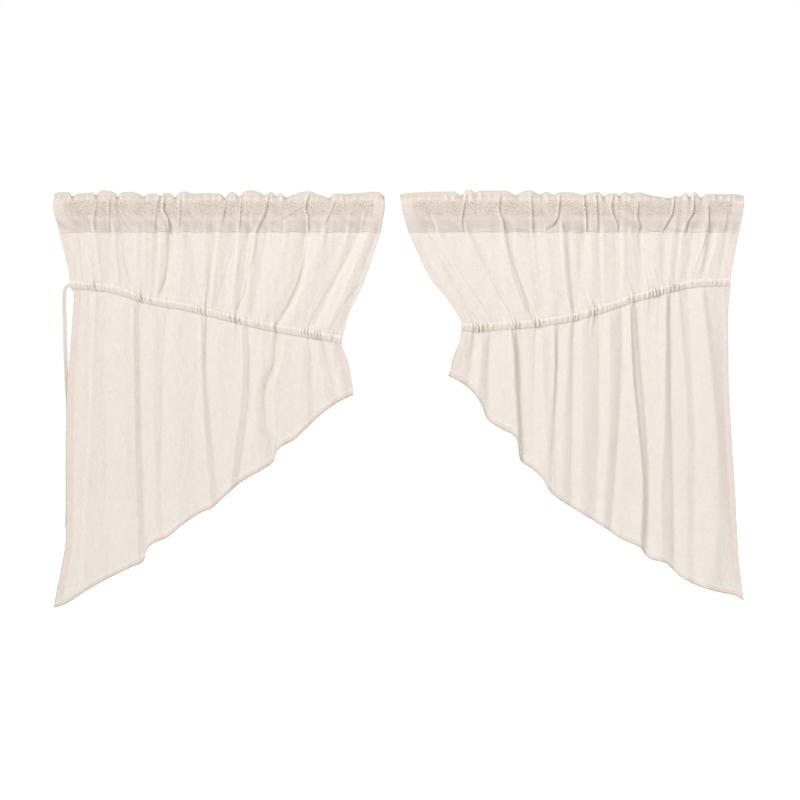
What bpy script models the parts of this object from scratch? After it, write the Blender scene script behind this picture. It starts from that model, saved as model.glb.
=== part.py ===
"""Pair of gathered swag and tail drapes, as they hang from one curtain rod.

Blender 4.5 script, in metres, +Z up.  The cloth's front faces -Y and +X runs to the right along the rod.
The origin is on the axis of the rod pockets, halfway between the two drapes.

Each drape is a heading (a strip folded over at the top into a ruffle and a rod pocket), a panel that
hangs from the pocket's seam to a slanting hem, and a ruched casing across it.  The left one also has a
free tie, which hangs from the outer end of its casing.
"""
from collections import namedtuple
from math import pi

import bmesh
import bpy
import numpy as np

# Every size below is in millimetres, and a point is made metres by this.
MM = 0.001

# Cloth
HEADING_THICKNESS = 1.0
PANEL_THICKNESS = 1.5
TIE_THICKNESS = 1.2
GAP = 0.3

# Heading: heights above the rod's axis, the ruffle's lean and how far the gathers swing to and fro
STITCH_LINE = 18.0
SEAM_LINE = -55.0
LAYER_OFFSET = 0.8
RUFFLE_MIDDLE = 29.0
RUFFLE_LEAN = 0.55
GATHER_SWING = 5.5

# Casing and the fine gathers that its cord draws into the panel
CASING_HALF_HEIGHT = 8.8
CASING_HALF_DEPTH = 2.8
CASING_GAP = 0.5
RUCHE = 0.10
GATHER_DEPTH = 1.4
GATHER_REACH = 28.0
PINCH_LEAST = 0.2
PINCH_REACH = 38.0
NEAR_CORD = 45.0
NEAR_CORD_ROWS = 0.25

# Tie
TIE_WIDTH = 8.0
TIE_STATIONS = 40

# Steps of the meshes
COLUMNS = 54
UPPER_ROWS = 6
LOWER_ROWS = 11
CASING_SIDES = 8

# Rows of the tables.  A level is 0 at the pocket's seam, 1 at the casing and 2 at the hem.
Edge = namedtuple("Edge", "level left right")
Line = namedtuple("Line", "x z")
Ruffle = namedtuple("Ruffle", "x top")
UpperFold = namedtuple("UpperFold", "seam casing rise half_width")
LowerFold = namedtuple("LowerFold", "casing quarter half three_quarters hem rise half_width")
Pocket = namedtuple("Pocket", "z offset swing_share")
TiePoint = namedtuple("TiePoint", "x y z")
Drape = namedtuple("Drape", "side edges heading_left heading_right casing hem ruffle upper lower")

# One wall of the heading, from the seam up to the stitch line: how far it stands off the middle, and the
# share of the gathers' swing that both walls take together there.
POCKET_WALL = [
    Pocket(SEAM_LINE, LAYER_OFFSET, 1.0), Pocket(-30.0, 11.0, 0.15), Pocket(-4.0, 12.0, 0.0),
    Pocket(11.0, 11.2, 0.15), Pocket(STITCH_LINE, LAYER_OFFSET, 1.0),
]
HEADING_ROWS = 2 * len(POCKET_WALL) + 1

LEFT = Drape(
    side="left",
    edges=[
        Edge(0.00, -735, -27), Edge(0.50, -721, -68), Edge(0.80, -713, -101), Edge(1.00, -712, -112),
        Edge(1.03, -703, -113), Edge(1.10, -706, -113), Edge(1.20, -711, -109), Edge(1.30, -717, -104),
        Edge(1.50, -721, -96), Edge(1.78, -721, -91), Edge(1.87, -730, -89), Edge(1.96, -743, -88),
        Edge(2.00, -747, -87),
    ],
    heading_left=(-745, -748),
    heading_right=(-19, -18),
    casing=[
        Line(-712, -171), Line(-645, -177), Line(-619, -181), Line(-567, -198), Line(-541, -205),
        Line(-464, -219), Line(-417, -230), Line(-348, -247), Line(-294, -260), Line(-243, -270),
        Line(-165, -283), Line(-112, -292),
    ],
    hem=[
        Line(-747, -883), Line(-727, -877), Line(-677, -846), Line(-621, -815), Line(-576, -793),
        Line(-549, -779), Line(-545, -762), Line(-536, -747), Line(-497, -728), Line(-463, -700),
        Line(-424, -674), Line(-396, -661), Line(-373, -638), Line(-328, -601), Line(-284, -576),
        Line(-263, -559), Line(-258, -541), Line(-216, -511), Line(-188, -484), Line(-154, -453),
        Line(-121, -430), Line(-87, -413),
    ],
    ruffle=[
        Ruffle(-747, 29), Ruffle(-714, 32), Ruffle(-704, 23), Ruffle(-659, 32), Ruffle(-653, 27),
        Ruffle(-639, 36), Ruffle(-611, 33), Ruffle(-606, 26), Ruffle(-582, 33), Ruffle(-546, 25),
        Ruffle(-527, 30), Ruffle(-496, 30), Ruffle(-480, 23), Ruffle(-460, 33), Ruffle(-408, 32),
        Ruffle(-369, 22), Ruffle(-357, 33), Ruffle(-335, 22), Ruffle(-315, 35), Ruffle(-268, 32),
        Ruffle(-247, 29), Ruffle(-232, 22), Ruffle(-187, 34), Ruffle(-140, 21), Ruffle(-126, 30),
        Ruffle(-49, 31), Ruffle(-22, 27),
    ],
    upper=[
        UpperFold(-694, -683, -2.4, 9), UpperFold(-659, -645, 4.8, 11), UpperFold(-632, -626, -4, 10),
        UpperFold(-617, -604, 4.8, 9), UpperFold(-600, -580, -4, 9), UpperFold(-568, -564, 5.6, 11),
        UpperFold(-524, -529, -3.2, 9), UpperFold(-497, -516, -6.4, 9), UpperFold(-474, -470, 5.6, 15),
        UpperFold(-450, -425, -4, 12), UpperFold(-399, -414, -4, 9), UpperFold(-383, -402, 5.6, 11),
        UpperFold(-339, -357, 4.8, 11), UpperFold(-320, -342, -3.2, 9), UpperFold(-302, -326, 4.8, 10),
        UpperFold(-280, -312, -3.2, 11), UpperFold(-232, -285, 4, 22), UpperFold(-194, -262, -6.4, 12),
        UpperFold(-155, -232, 4.8, 18), UpperFold(-77, -187, -4.8, 12), UpperFold(-53, -150, 4.8, 14),
    ],
    lower=[
        LowerFold(-657, -662, -669, -678, -685, 3.9, 11), LowerFold(-640, -637, -634, -631, -628, -2.8, 11),
        LowerFold(-596, -592, -590, -588, -585, 4.4, 15), LowerFold(-563, -559, -556, -552, -547, -6.1, 11),
        LowerFold(-535, -530, -527, -524, -520, 3.3, 12), LowerFold(-498, -508, -512, -513, -510, -4.4, 10),
        LowerFold(-482, -481, -480, -476, -470, 4.4, 15), LowerFold(-427, -425, -420, -412, -402, 3.9, 11),
        LowerFold(-413, -413, -406, -396, -386, -3.9, 10), LowerFold(-392, -385, -376, -368, -362, 2.2, 12),
        LowerFold(-338, -333, -337, -350, -362, 3.9, 10), LowerFold(-322, -317, -319, -330, -342, -4.4, 10),
        LowerFold(-292, -291, -306, -302, -288, 2.8, 12), LowerFold(-258, -261, -285, -278, -259, -6.6, 11),
        LowerFold(-238, -245, -262, -259, -242, 3.9, 10), LowerFold(-205, -201, -198, -196, -192, 3.3, 18),
        LowerFold(-185, -183, -181, -178, -174, -3.9, 10), LowerFold(-160, -150, -141, -132, -122, -3.3, 9),
        LowerFold(-138, -133, -125, -117, -108, 3.3, 9),
    ],
)

RIGHT = Drape(
    side="right",
    edges=[
        Edge(0.00, 34, 762), Edge(0.50, 84, 751), Edge(0.80, 133, 745), Edge(1.00, 152, 743),
        Edge(1.10, 150, 738), Edge(1.30, 147, 739), Edge(1.50, 138, 746), Edge(1.70, 131, 755),
        Edge(1.87, 127, 762), Edge(1.96, 124, 769), Edge(2.00, 121, 773),
    ],
    heading_left=(15, 19),
    heading_right=(773, 771),
    casing=[
        Line(152, -263), Line(188, -267), Line(214, -264), Line(266, -260), Line(318, -256),
        Line(344, -252), Line(397, -243), Line(447, -229), Line(493, -214), Line(519, -204),
        Line(570, -191), Line(628, -175), Line(680, -167), Line(743, -165),
    ],
    hem=[
        Line(121, -371), Line(165, -397), Line(194, -433), Line(208, -467), Line(239, -489),
        Line(272, -515), Line(275, -541), Line(281, -558), Line(306, -576), Line(328, -596),
        Line(346, -627), Line(374, -649), Line(419, -677), Line(464, -705), Line(502, -731),
        Line(545, -753), Line(565, -775), Line(599, -784), Line(634, -815), Line(672, -835),
        Line(716, -848), Line(756, -857), Line(773, -867),
    ],
    ruffle=[
        Ruffle(15, 26), Ruffle(60, 30), Ruffle(130, 32), Ruffle(150, 25), Ruffle(165, 36),
        Ruffle(185, 31), Ruffle(220, 35), Ruffle(272, 29), Ruffle(297, 36), Ruffle(323, 26),
        Ruffle(336, 32), Ruffle(352, 26), Ruffle(374, 32), Ruffle(416, 27), Ruffle(449, 31),
        Ruffle(464, 23), Ruffle(475, 30), Ruffle(500, 26), Ruffle(511, 32), Ruffle(544, 31),
        Ruffle(593, 24), Ruffle(612, 20), Ruffle(643, 31), Ruffle(654, 23), Ruffle(665, 31),
        Ruffle(679, 20), Ruffle(695, 29), Ruffle(771, 26),
    ],
    upper=[
        UpperFold(73, 189, -4, 12), UpperFold(98, 205, 4.8, 14), UpperFold(172, 271, -4.8, 12),
        UpperFold(212, 285, 3.2, 14), UpperFold(241, 301, 6.4, 9), UpperFold(256, 313, -4.8, 9),
        UpperFold(300, 328, -5.6, 11), UpperFold(335, 354, 3.2, 14), UpperFold(371, 390, 7.2, 10),
        UpperFold(418, 407, -7.2, 11), UpperFold(435, 440, 4, 10), UpperFold(450, 457, -3.2, 8),
        UpperFold(464, 468, 4.8, 9), UpperFold(491, 491, -4, 9), UpperFold(508, 506, 4, 9),
        UpperFold(542, 544, -4.8, 11), UpperFold(577, 574, 4, 15), UpperFold(600, 592, -3.2, 9),
        UpperFold(617, 606, 4, 9), UpperFold(638, 628, 4, 9), UpperFold(660, 643, -4.8, 10),
        UpperFold(685, 659, 7.2, 11), UpperFold(702, 680, -4, 9), UpperFold(716, 700, 3.2, 10),
    ],
    lower=[
        LowerFold(164, 160, 152, 148, 145, 3.2, 10), LowerFold(177, 177, 172, 168, 165, -4, 9),
        LowerFold(194, 195, 192, 188, 184, 4, 9), LowerFold(211, 211, 209, 208, 206, -7.2, 10),
        LowerFold(256, 262, 264, 268, 271, 8, 11), LowerFold(272, 276, 279, 283, 287, -9.6, 11),
        LowerFold(322, 328, 332, 333, 334, 5.6, 12), LowerFold(362, 361, 354, 349, 346, -5.6, 10),
        LowerFold(386, 383, 376, 371, 366, 3.2, 10), LowerFold(396, 395, 394, 393, 391, -4.8, 10),
        LowerFold(413, 415, 417, 415, 412, 4, 13), LowerFold(450, 453, 452, 448, 444, -5.6, 10),
        LowerFold(474, 476, 475, 469, 461, 5.6, 12), LowerFold(501, 501, 497, 488, 478, -6.4, 10),
        LowerFold(517, 521, 535, 546, 539, 8.8, 11), LowerFold(540, 547, 561, 566, 560, -10.4, 13),
        LowerFold(599, 598, 594, 587, 589, 8, 13), LowerFold(609, 611, 615, 619, 621, -6.4, 11),
        LowerFold(634, 645, 646, 648, 648, -3.2, 14), LowerFold(674, 694, 711, 715, 690, 8.8, 19),
    ],
)

# The tie's middle line, by hand: out of the casing's end, over in a short loop, then down behind the
# panel's outer edge.
TIE_ROUTE = [
    TiePoint(-712.6, -3.9, -173), TiePoint(-715.2, -4.1, -173.2), TiePoint(-718.2, -4.2, -175.2),
    TiePoint(-720.8, -4.0, -179.5), TiePoint(-722.6, -3.0, -187), TiePoint(-724, -1.0, -200),
    TiePoint(-725, 2.5, -220), TiePoint(-724, 5.5, -250), TiePoint(-723.5, 6.5, -300),
    TiePoint(-722, 7.0, -350), TiePoint(-720, 7.0, -395), TiePoint(-718, 7.0, -430),
    TiePoint(-717, 7.0, -495), TiePoint(-717, 7.0, -560), TiePoint(-718, 6.5, -620),
    TiePoint(-719, 6.5, -670), TiePoint(-720, 6.5, -705),
]


def clear_scene():
    """Remove every object, so that the script gives the same model each run."""
    for item in list(bpy.data.objects):
        bpy.data.objects.remove(item, do_unlink=True)


def cloth_material(name, colour, roughness):
    """A plain cloth finish: colour is linear red, green and blue."""
    material = bpy.data.materials.new(name)
    material.use_nodes = True
    shader = material.node_tree.nodes["Principled BSDF"]
    shader.inputs["Base Color"].default_value = (*colour, 1.0)
    shader.inputs["Roughness"].default_value = roughness
    shader.inputs["Metallic"].default_value = 0.0
    return material


def curve_through(stations, values, at):
    """A smooth line through the values: cubic between stations, and never past the two nearest values."""
    stations = np.asarray(stations, dtype=float)
    values = np.asarray(values, dtype=float)
    widths = np.diff(stations)
    steps = np.diff(values) / widths
    onward = steps[:-1] * steps[1:] > 0
    before, after = 2 * widths[1:] + widths[:-1], widths[1:] + 2 * widths[:-1]
    inner = np.zeros(len(onward))
    shares = before[onward] / steps[:-1][onward] + after[onward] / steps[1:][onward]
    inner[onward] = (before + after)[onward] / shares
    slopes = np.concatenate((steps[:1], inner, steps[-1:]))
    at = np.clip(at, stations[0], stations[-1])
    index = np.clip(np.searchsorted(stations, at, side="right") - 1, 0, len(stations) - 2)
    width = stations[index + 1] - stations[index]
    t = (at - stations[index]) / width
    start = (1 + 2 * t) * (1 - t) ** 2 * values[index] + t * (1 - t) ** 2 * width * slopes[index]
    end = t * t * (3 - 2 * t) * values[index + 1] + t * t * (t - 1) * width * slopes[index + 1]
    return start + end


def bell(distance, half_width):
    """A soft ridge of height one, near nothing at twice its half width."""
    return np.exp(-(distance / half_width) ** 2)


def edge_x(drape, level):
    """Where the drape's left and right edges are at a level."""
    levels = [row.level for row in drape.edges]
    left = curve_through(levels, [row.left for row in drape.edges], level)
    right = curve_through(levels, [row.right for row in drape.edges], level)
    return left, right


def across(drape, u, level):
    """The place along X of the share u of the cloth's width, at a level."""
    left, right = edge_x(drape, level)
    return left + (right - left) * u


def height_on(line, x):
    """The height of a table's line at x."""
    return np.interp(x, [point.x for point in line], [point.z for point in line])


def smooth_height_on(line, x):
    """The height of a table's line at x, rounded through its points."""
    return curve_through([point.x for point in line], [point.z for point in line], x)


def upper_folds(drape, x, level):
    """How far the folds above the casing stand forward at x."""
    depth = np.zeros_like(x)
    for fold in drape.upper:
        middle = fold.seam + (fold.casing - fold.seam) * level
        depth += fold.rise * bell(x - middle, fold.half_width)
    return depth


def lower_folds(drape, x, level):
    """How far the folds below the casing stand forward at x."""
    depth = np.zeros_like(x)
    quarters = (1.0, 1.25, 1.5, 1.75, 2.0)
    for fold in drape.lower:
        path = (fold.casing, fold.quarter, fold.half, fold.three_quarters, fold.hem)
        middle = curve_through(quarters, path, level)
        depth += fold.rise * bell(x - middle, fold.half_width)
    return depth


def gathers(u):
    """The fine gathers at the casing, one to every two columns."""
    return GATHER_DEPTH * np.cos(pi * COLUMNS * u)


def cord_distance(share, length):
    """Distance from the casing along the cloth: a share of the rows lies in the first few centimetres."""
    near = NEAR_CORD * np.minimum(share / NEAR_CORD_ROWS, 1.0)
    rest = np.maximum(share - NEAR_CORD_ROWS, 0.0) / (1.0 - NEAR_CORD_ROWS)
    return near + rest * (length - NEAR_CORD)


def panel_point(drape, u, level):
    """Points of the panel's middle surface for shares u of its width and levels from 0 to 2."""
    top = SEAM_LINE - GAP
    casing_z = smooth_height_on(drape.casing, across(drape, u, np.ones_like(u)))
    hem_z = height_on(drape.hem, across(drape, u, np.full_like(u, 2.0)))
    above = level < 1.0
    length = np.where(above, top - casing_z, casing_z - hem_z)
    distance = cord_distance(np.abs(level - 1.0), length)
    true_level = np.where(above, 1.0 - distance / length, 1.0 + distance / length)
    x = across(drape, u, true_level)
    z = np.where(above, casing_z + distance, casing_z - distance)
    folds = np.where(above, upper_folds(drape, x, true_level), lower_folds(drape, x, true_level))
    at_casing = 0.5 * (upper_folds(drape, x, np.ones_like(u)) + lower_folds(drape, x, np.ones_like(u)))
    pinch = 1.0 - bell(distance, PINCH_REACH)
    forward = PINCH_LEAST * at_casing * (1.0 - pinch) + folds * pinch
    forward += gathers(u) * np.exp(-distance / GATHER_REACH)
    return x, -forward, z


def seam_shift(drape, u):
    """How far back the cloth lies along the pocket's seam."""
    y = panel_point(drape, u, np.zeros_like(u))[1]
    return np.clip(y, -GATHER_SWING, GATHER_SWING)


def heading_point(drape, u, around):
    """Points of the heading's strip: around runs from the seam up the front, over the top and down."""
    row = np.rint(around * HEADING_ROWS).astype(int)
    side = np.where(row <= HEADING_ROWS // 2, -1.0, 1.0)
    place = np.where(side < 0, row, HEADING_ROWS - row)
    heights, offsets, shares = (np.array(column) for column in zip(*POCKET_WALL))
    low = place < len(POCKET_WALL)
    index = np.minimum(place, len(POCKET_WALL) - 1)
    share_down = np.clip((STITCH_LINE - heights[index]) / (STITCH_LINE - SEAM_LINE), 0.0, 1.0)
    top = curve_through([row.x for row in drape.ruffle], [row.top for row in drape.ruffle],
                        drape.heading_left[0] + (drape.heading_right[0] - drape.heading_left[0]) * u)
    z = np.where(low, heights[index], top)
    edge_heights = (SEAM_LINE, 0.0, RUFFLE_MIDDLE)
    seam_left, seam_right = edge_x(drape, 0.0)
    left = np.interp(z, edge_heights, (float(seam_left), drape.heading_left[1], drape.heading_left[0]))
    right = np.interp(z, edge_heights, (float(seam_right), drape.heading_right[1], drape.heading_right[0]))
    x = left + (right - left) * u
    ruffle = -RUFFLE_LEAN * (top - RUFFLE_MIDDLE)
    shift = seam_shift(drape, u) * share_down + ruffle * (1.0 - share_down)
    share = np.where(low, shares[index], 1.0)
    offset = np.where(low, offsets[index], LAYER_OFFSET)
    outward = 0.5 * (shift + side * GATHER_SWING)
    y = side * offset + share * shift + (1.0 - share) * outward
    return x, y, z


def sheet(name, columns, rows, place, thickness, material):
    """A cloth: a grid laid on the surface that place(u, v) gives, with its thickness on both sides."""
    mesh = bpy.data.meshes.new(name)
    grid = bmesh.new()
    bmesh.ops.create_grid(grid, x_segments=columns, y_segments=rows, size=1.0)
    corners = np.array([vertex.co[:] for vertex in grid.verts])
    x, y, z = place((corners[:, 0] + 1.0) / 2.0, (corners[:, 1] + 1.0) / 2.0)
    for vertex, point in zip(grid.verts, np.stack((x, y, z), axis=1) * MM):
        vertex.co = point
    grid.to_mesh(mesh)
    grid.free()
    return add_object(name, mesh, thickness, material)


def add_object(name, mesh, thickness, material):
    """Put a mesh in the drapes' collection, smooth, with its material and a thickness where one is given."""
    mesh.materials.append(material)
    mesh.shade_smooth()
    item = bpy.data.objects.new(name, mesh)
    bpy.data.collections["swag_and_tail_drapes"].objects.link(item)
    if thickness:
        wall = item.modifiers.new("cloth thickness", "SOLIDIFY")
        wall.thickness = thickness * MM
        wall.offset = 0.0
    return item


def make_heading(drape, material):
    """The ruffle and the rod pocket: one strip, folded over at the top and open at its two mouths."""
    return sheet(f"heading_{drape.side}", COLUMNS, HEADING_ROWS,
                 lambda u, v: heading_point(drape, u, v), HEADING_THICKNESS, material)


def make_panel(drape, material):
    """The panel: rows of cloth above the casing and below it, with the folds of each tier."""
    rows = UPPER_ROWS + LOWER_ROWS
    levels = np.concatenate((np.linspace(0, 1, UPPER_ROWS + 1), np.linspace(1, 2, LOWER_ROWS + 1)[1:]))
    return sheet(f"panel_{drape.side}", COLUMNS, rows,
                 lambda u, v: panel_point(drape, u, levels[np.rint(v * rows).astype(int)]),
                 PANEL_THICKNESS, material)


def make_casing(drape, material):
    """The ruched casing: a flat oval tube laid along the front of the panel's pinched line."""
    mesh = bpy.data.meshes.new(f"casing_{drape.side}")
    tube = bmesh.new()
    bmesh.ops.create_cone(tube, cap_ends=True, cap_tris=False, segments=CASING_SIDES,
                          radius1=1.0, radius2=1.0, depth=1.0)
    lengthwise = [edge for edge in tube.edges if abs(edge.verts[0].co.z - edge.verts[1].co.z) > 0.5]
    bmesh.ops.subdivide_edges(tube, edges=lengthwise, cuts=COLUMNS - 1, use_grid_fill=True)
    for vertex in tube.verts:
        u = np.array([vertex.co.z + 0.5])
        x, y, z = panel_point(drape, u, np.ones(1))
        swell = 1.0 + RUCHE * np.cos(pi * COLUMNS * u)
        back = y - PANEL_THICKNESS / 2 - CASING_GAP
        vertex.co = (x[0] * MM,
                     (back - CASING_HALF_DEPTH * swell * (1.0 + vertex.co.x))[0] * MM,
                     (z - CASING_HALF_HEIGHT * swell * vertex.co.y)[0] * MM)
    tube.to_mesh(mesh)
    tube.free()
    return add_object(f"casing_{drape.side}", mesh, 0.0, material)


def tie_point(u, v):
    """Points of the tie: v runs along its route and u across its width, in the plane of the cloth."""
    route = np.array([point[:] for point in TIE_ROUTE])
    steps = np.linalg.norm(np.diff(route, axis=0), axis=1)
    run = np.concatenate(([0.0], np.cumsum(steps)))
    at = v * run[-1]
    middle = [curve_through(run, route[:, axis], at) for axis in range(3)]
    ahead = [curve_through(run, route[:, axis], np.minimum(at + 2.0, run[-1])) for axis in range(3)]
    behind = [curve_through(run, route[:, axis], np.maximum(at - 2.0, 0.0)) for axis in range(3)]
    along_x = ahead[0] - behind[0]
    along_z = ahead[2] - behind[2]
    size = np.hypot(along_x, along_z)
    side = TIE_WIDTH * (u - 0.5)
    return middle[0] - side * along_z / size, middle[1], middle[2] + side * along_x / size


def make_tie(material):
    """The free tie of the left drape: a narrow strip of two layers sewn together."""
    return sheet("tie_left", 2, TIE_STATIONS, tie_point, TIE_THICKNESS, material)


def build():
    """Make both drapes."""
    clear_scene()
    collection = bpy.data.collections.new("swag_and_tail_drapes")
    bpy.context.scene.collection.children.link(collection)
    doubled = cloth_material("doubled ivory cotton", (0.71, 0.63, 0.56), 0.85)
    single = cloth_material("single ivory cotton", (0.84, 0.78, 0.71), 0.85)
    for drape in (LEFT, RIGHT):
        make_heading(drape, doubled)
        make_panel(drape, single)
        make_casing(drape, doubled)
    make_tie(doubled)


build()
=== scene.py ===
"""Looks of a pair of gathered swag and tail drapes in semi-sheer ivory cotton.

Each drape has a heading (ruffle and rod pocket), a hanging panel, a ruched casing across it and its
sewing; the left one has a free tie.  Sizes in the tables are millimetres, in the frame of the solids:
+X along the rod to the right, the cloth's front towards -Y, +Z up, the origin on the pockets' axis.
"""
from __future__ import annotations

import logging
from dataclasses import dataclass
from enum import Enum

import bpy
import numpy as np
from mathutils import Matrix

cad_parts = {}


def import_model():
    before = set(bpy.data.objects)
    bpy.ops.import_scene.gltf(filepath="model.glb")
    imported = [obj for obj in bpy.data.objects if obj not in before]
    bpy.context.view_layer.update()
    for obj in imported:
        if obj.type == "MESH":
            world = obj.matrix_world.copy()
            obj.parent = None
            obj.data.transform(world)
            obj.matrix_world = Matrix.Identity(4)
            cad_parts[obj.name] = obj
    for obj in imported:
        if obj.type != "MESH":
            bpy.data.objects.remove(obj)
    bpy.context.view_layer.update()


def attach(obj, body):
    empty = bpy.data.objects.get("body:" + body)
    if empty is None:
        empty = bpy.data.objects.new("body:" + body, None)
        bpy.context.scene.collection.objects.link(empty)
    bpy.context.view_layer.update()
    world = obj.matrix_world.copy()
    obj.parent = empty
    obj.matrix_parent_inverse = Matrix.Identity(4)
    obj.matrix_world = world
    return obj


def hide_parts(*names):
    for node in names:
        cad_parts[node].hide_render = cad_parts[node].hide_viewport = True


Array = np.ndarray
MM = 0.001
FAR = 1e4
NO_FADE = (1e3, 1e3)
LOG = logging.getLogger("drapes")


class Side(Enum):
    """The material slots."""

    LEFT = "left"
    RIGHT = "right"


class Slot(Enum):
    """The record's material slots."""

    SHEER = "sheer_cloth"
    DOUBLED = "doubled_cloth"
    CASING = "casing_cloth"
    TIE = "tie_cloth"


@dataclass(frozen=True)
class Edge:
    """Both edges of a panel at a level: 0 at the pocket's seam, 1 at the casing, 2 at the hem."""

    level: float
    left: float
    right: float


@dataclass(frozen=True)
class Point:
    """A point of a line seen from the front."""

    x: float
    z: float


@dataclass(frozen=True)
class Fold:
    """A soft ridge, or a trough where rise is negative, along a path of x at even levels of its tier.

    left and right are the half widths of its two flanks, and lean draws its crest sideways, as a share
    of the rise, so that the flank on that side stands steep or folds under.
    """

    path: tuple[float, ...]
    rise: float
    left: float
    right: float
    lean: float = 0.0


@dataclass(frozen=True)
class Crease:
    """A sharp line in the cloth, along a path of (x, z) places from the top down.

    drop is how far the cloth on its left stands in front of that on its right, or behind it where
    drop is negative, and dent is how deep the line itself lies.
    """

    path: tuple[tuple[float, float], ...]
    drop: float
    dent: float


@dataclass(frozen=True)
class Bunch:
    """A stretch of the casing where its cord draws the cloth tight, at x and fading over half_width."""

    x: float
    half_width: float
    strength: float


@dataclass(frozen=True)
class Cut:
    """The places that give one drape its outline and its main folds."""

    side: Side
    edges: tuple[Edge, ...]
    heading_left: tuple[float, float]
    heading_right: tuple[float, float]
    casing: tuple[Point, ...]
    hem: tuple[Point, ...]
    ruffle: tuple[Point, ...]
    pocket_creases: tuple[Crease, ...]
    upper: tuple[Fold, ...]
    lower: tuple[Fold, ...]
    creases: tuple[Crease, ...]
    hanging_creases: tuple[Crease, ...]
    bunches: tuple[Bunch, ...]
    hem_tint: float
    upper_rise: float
    lower_rise: float
    seed: int


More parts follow.
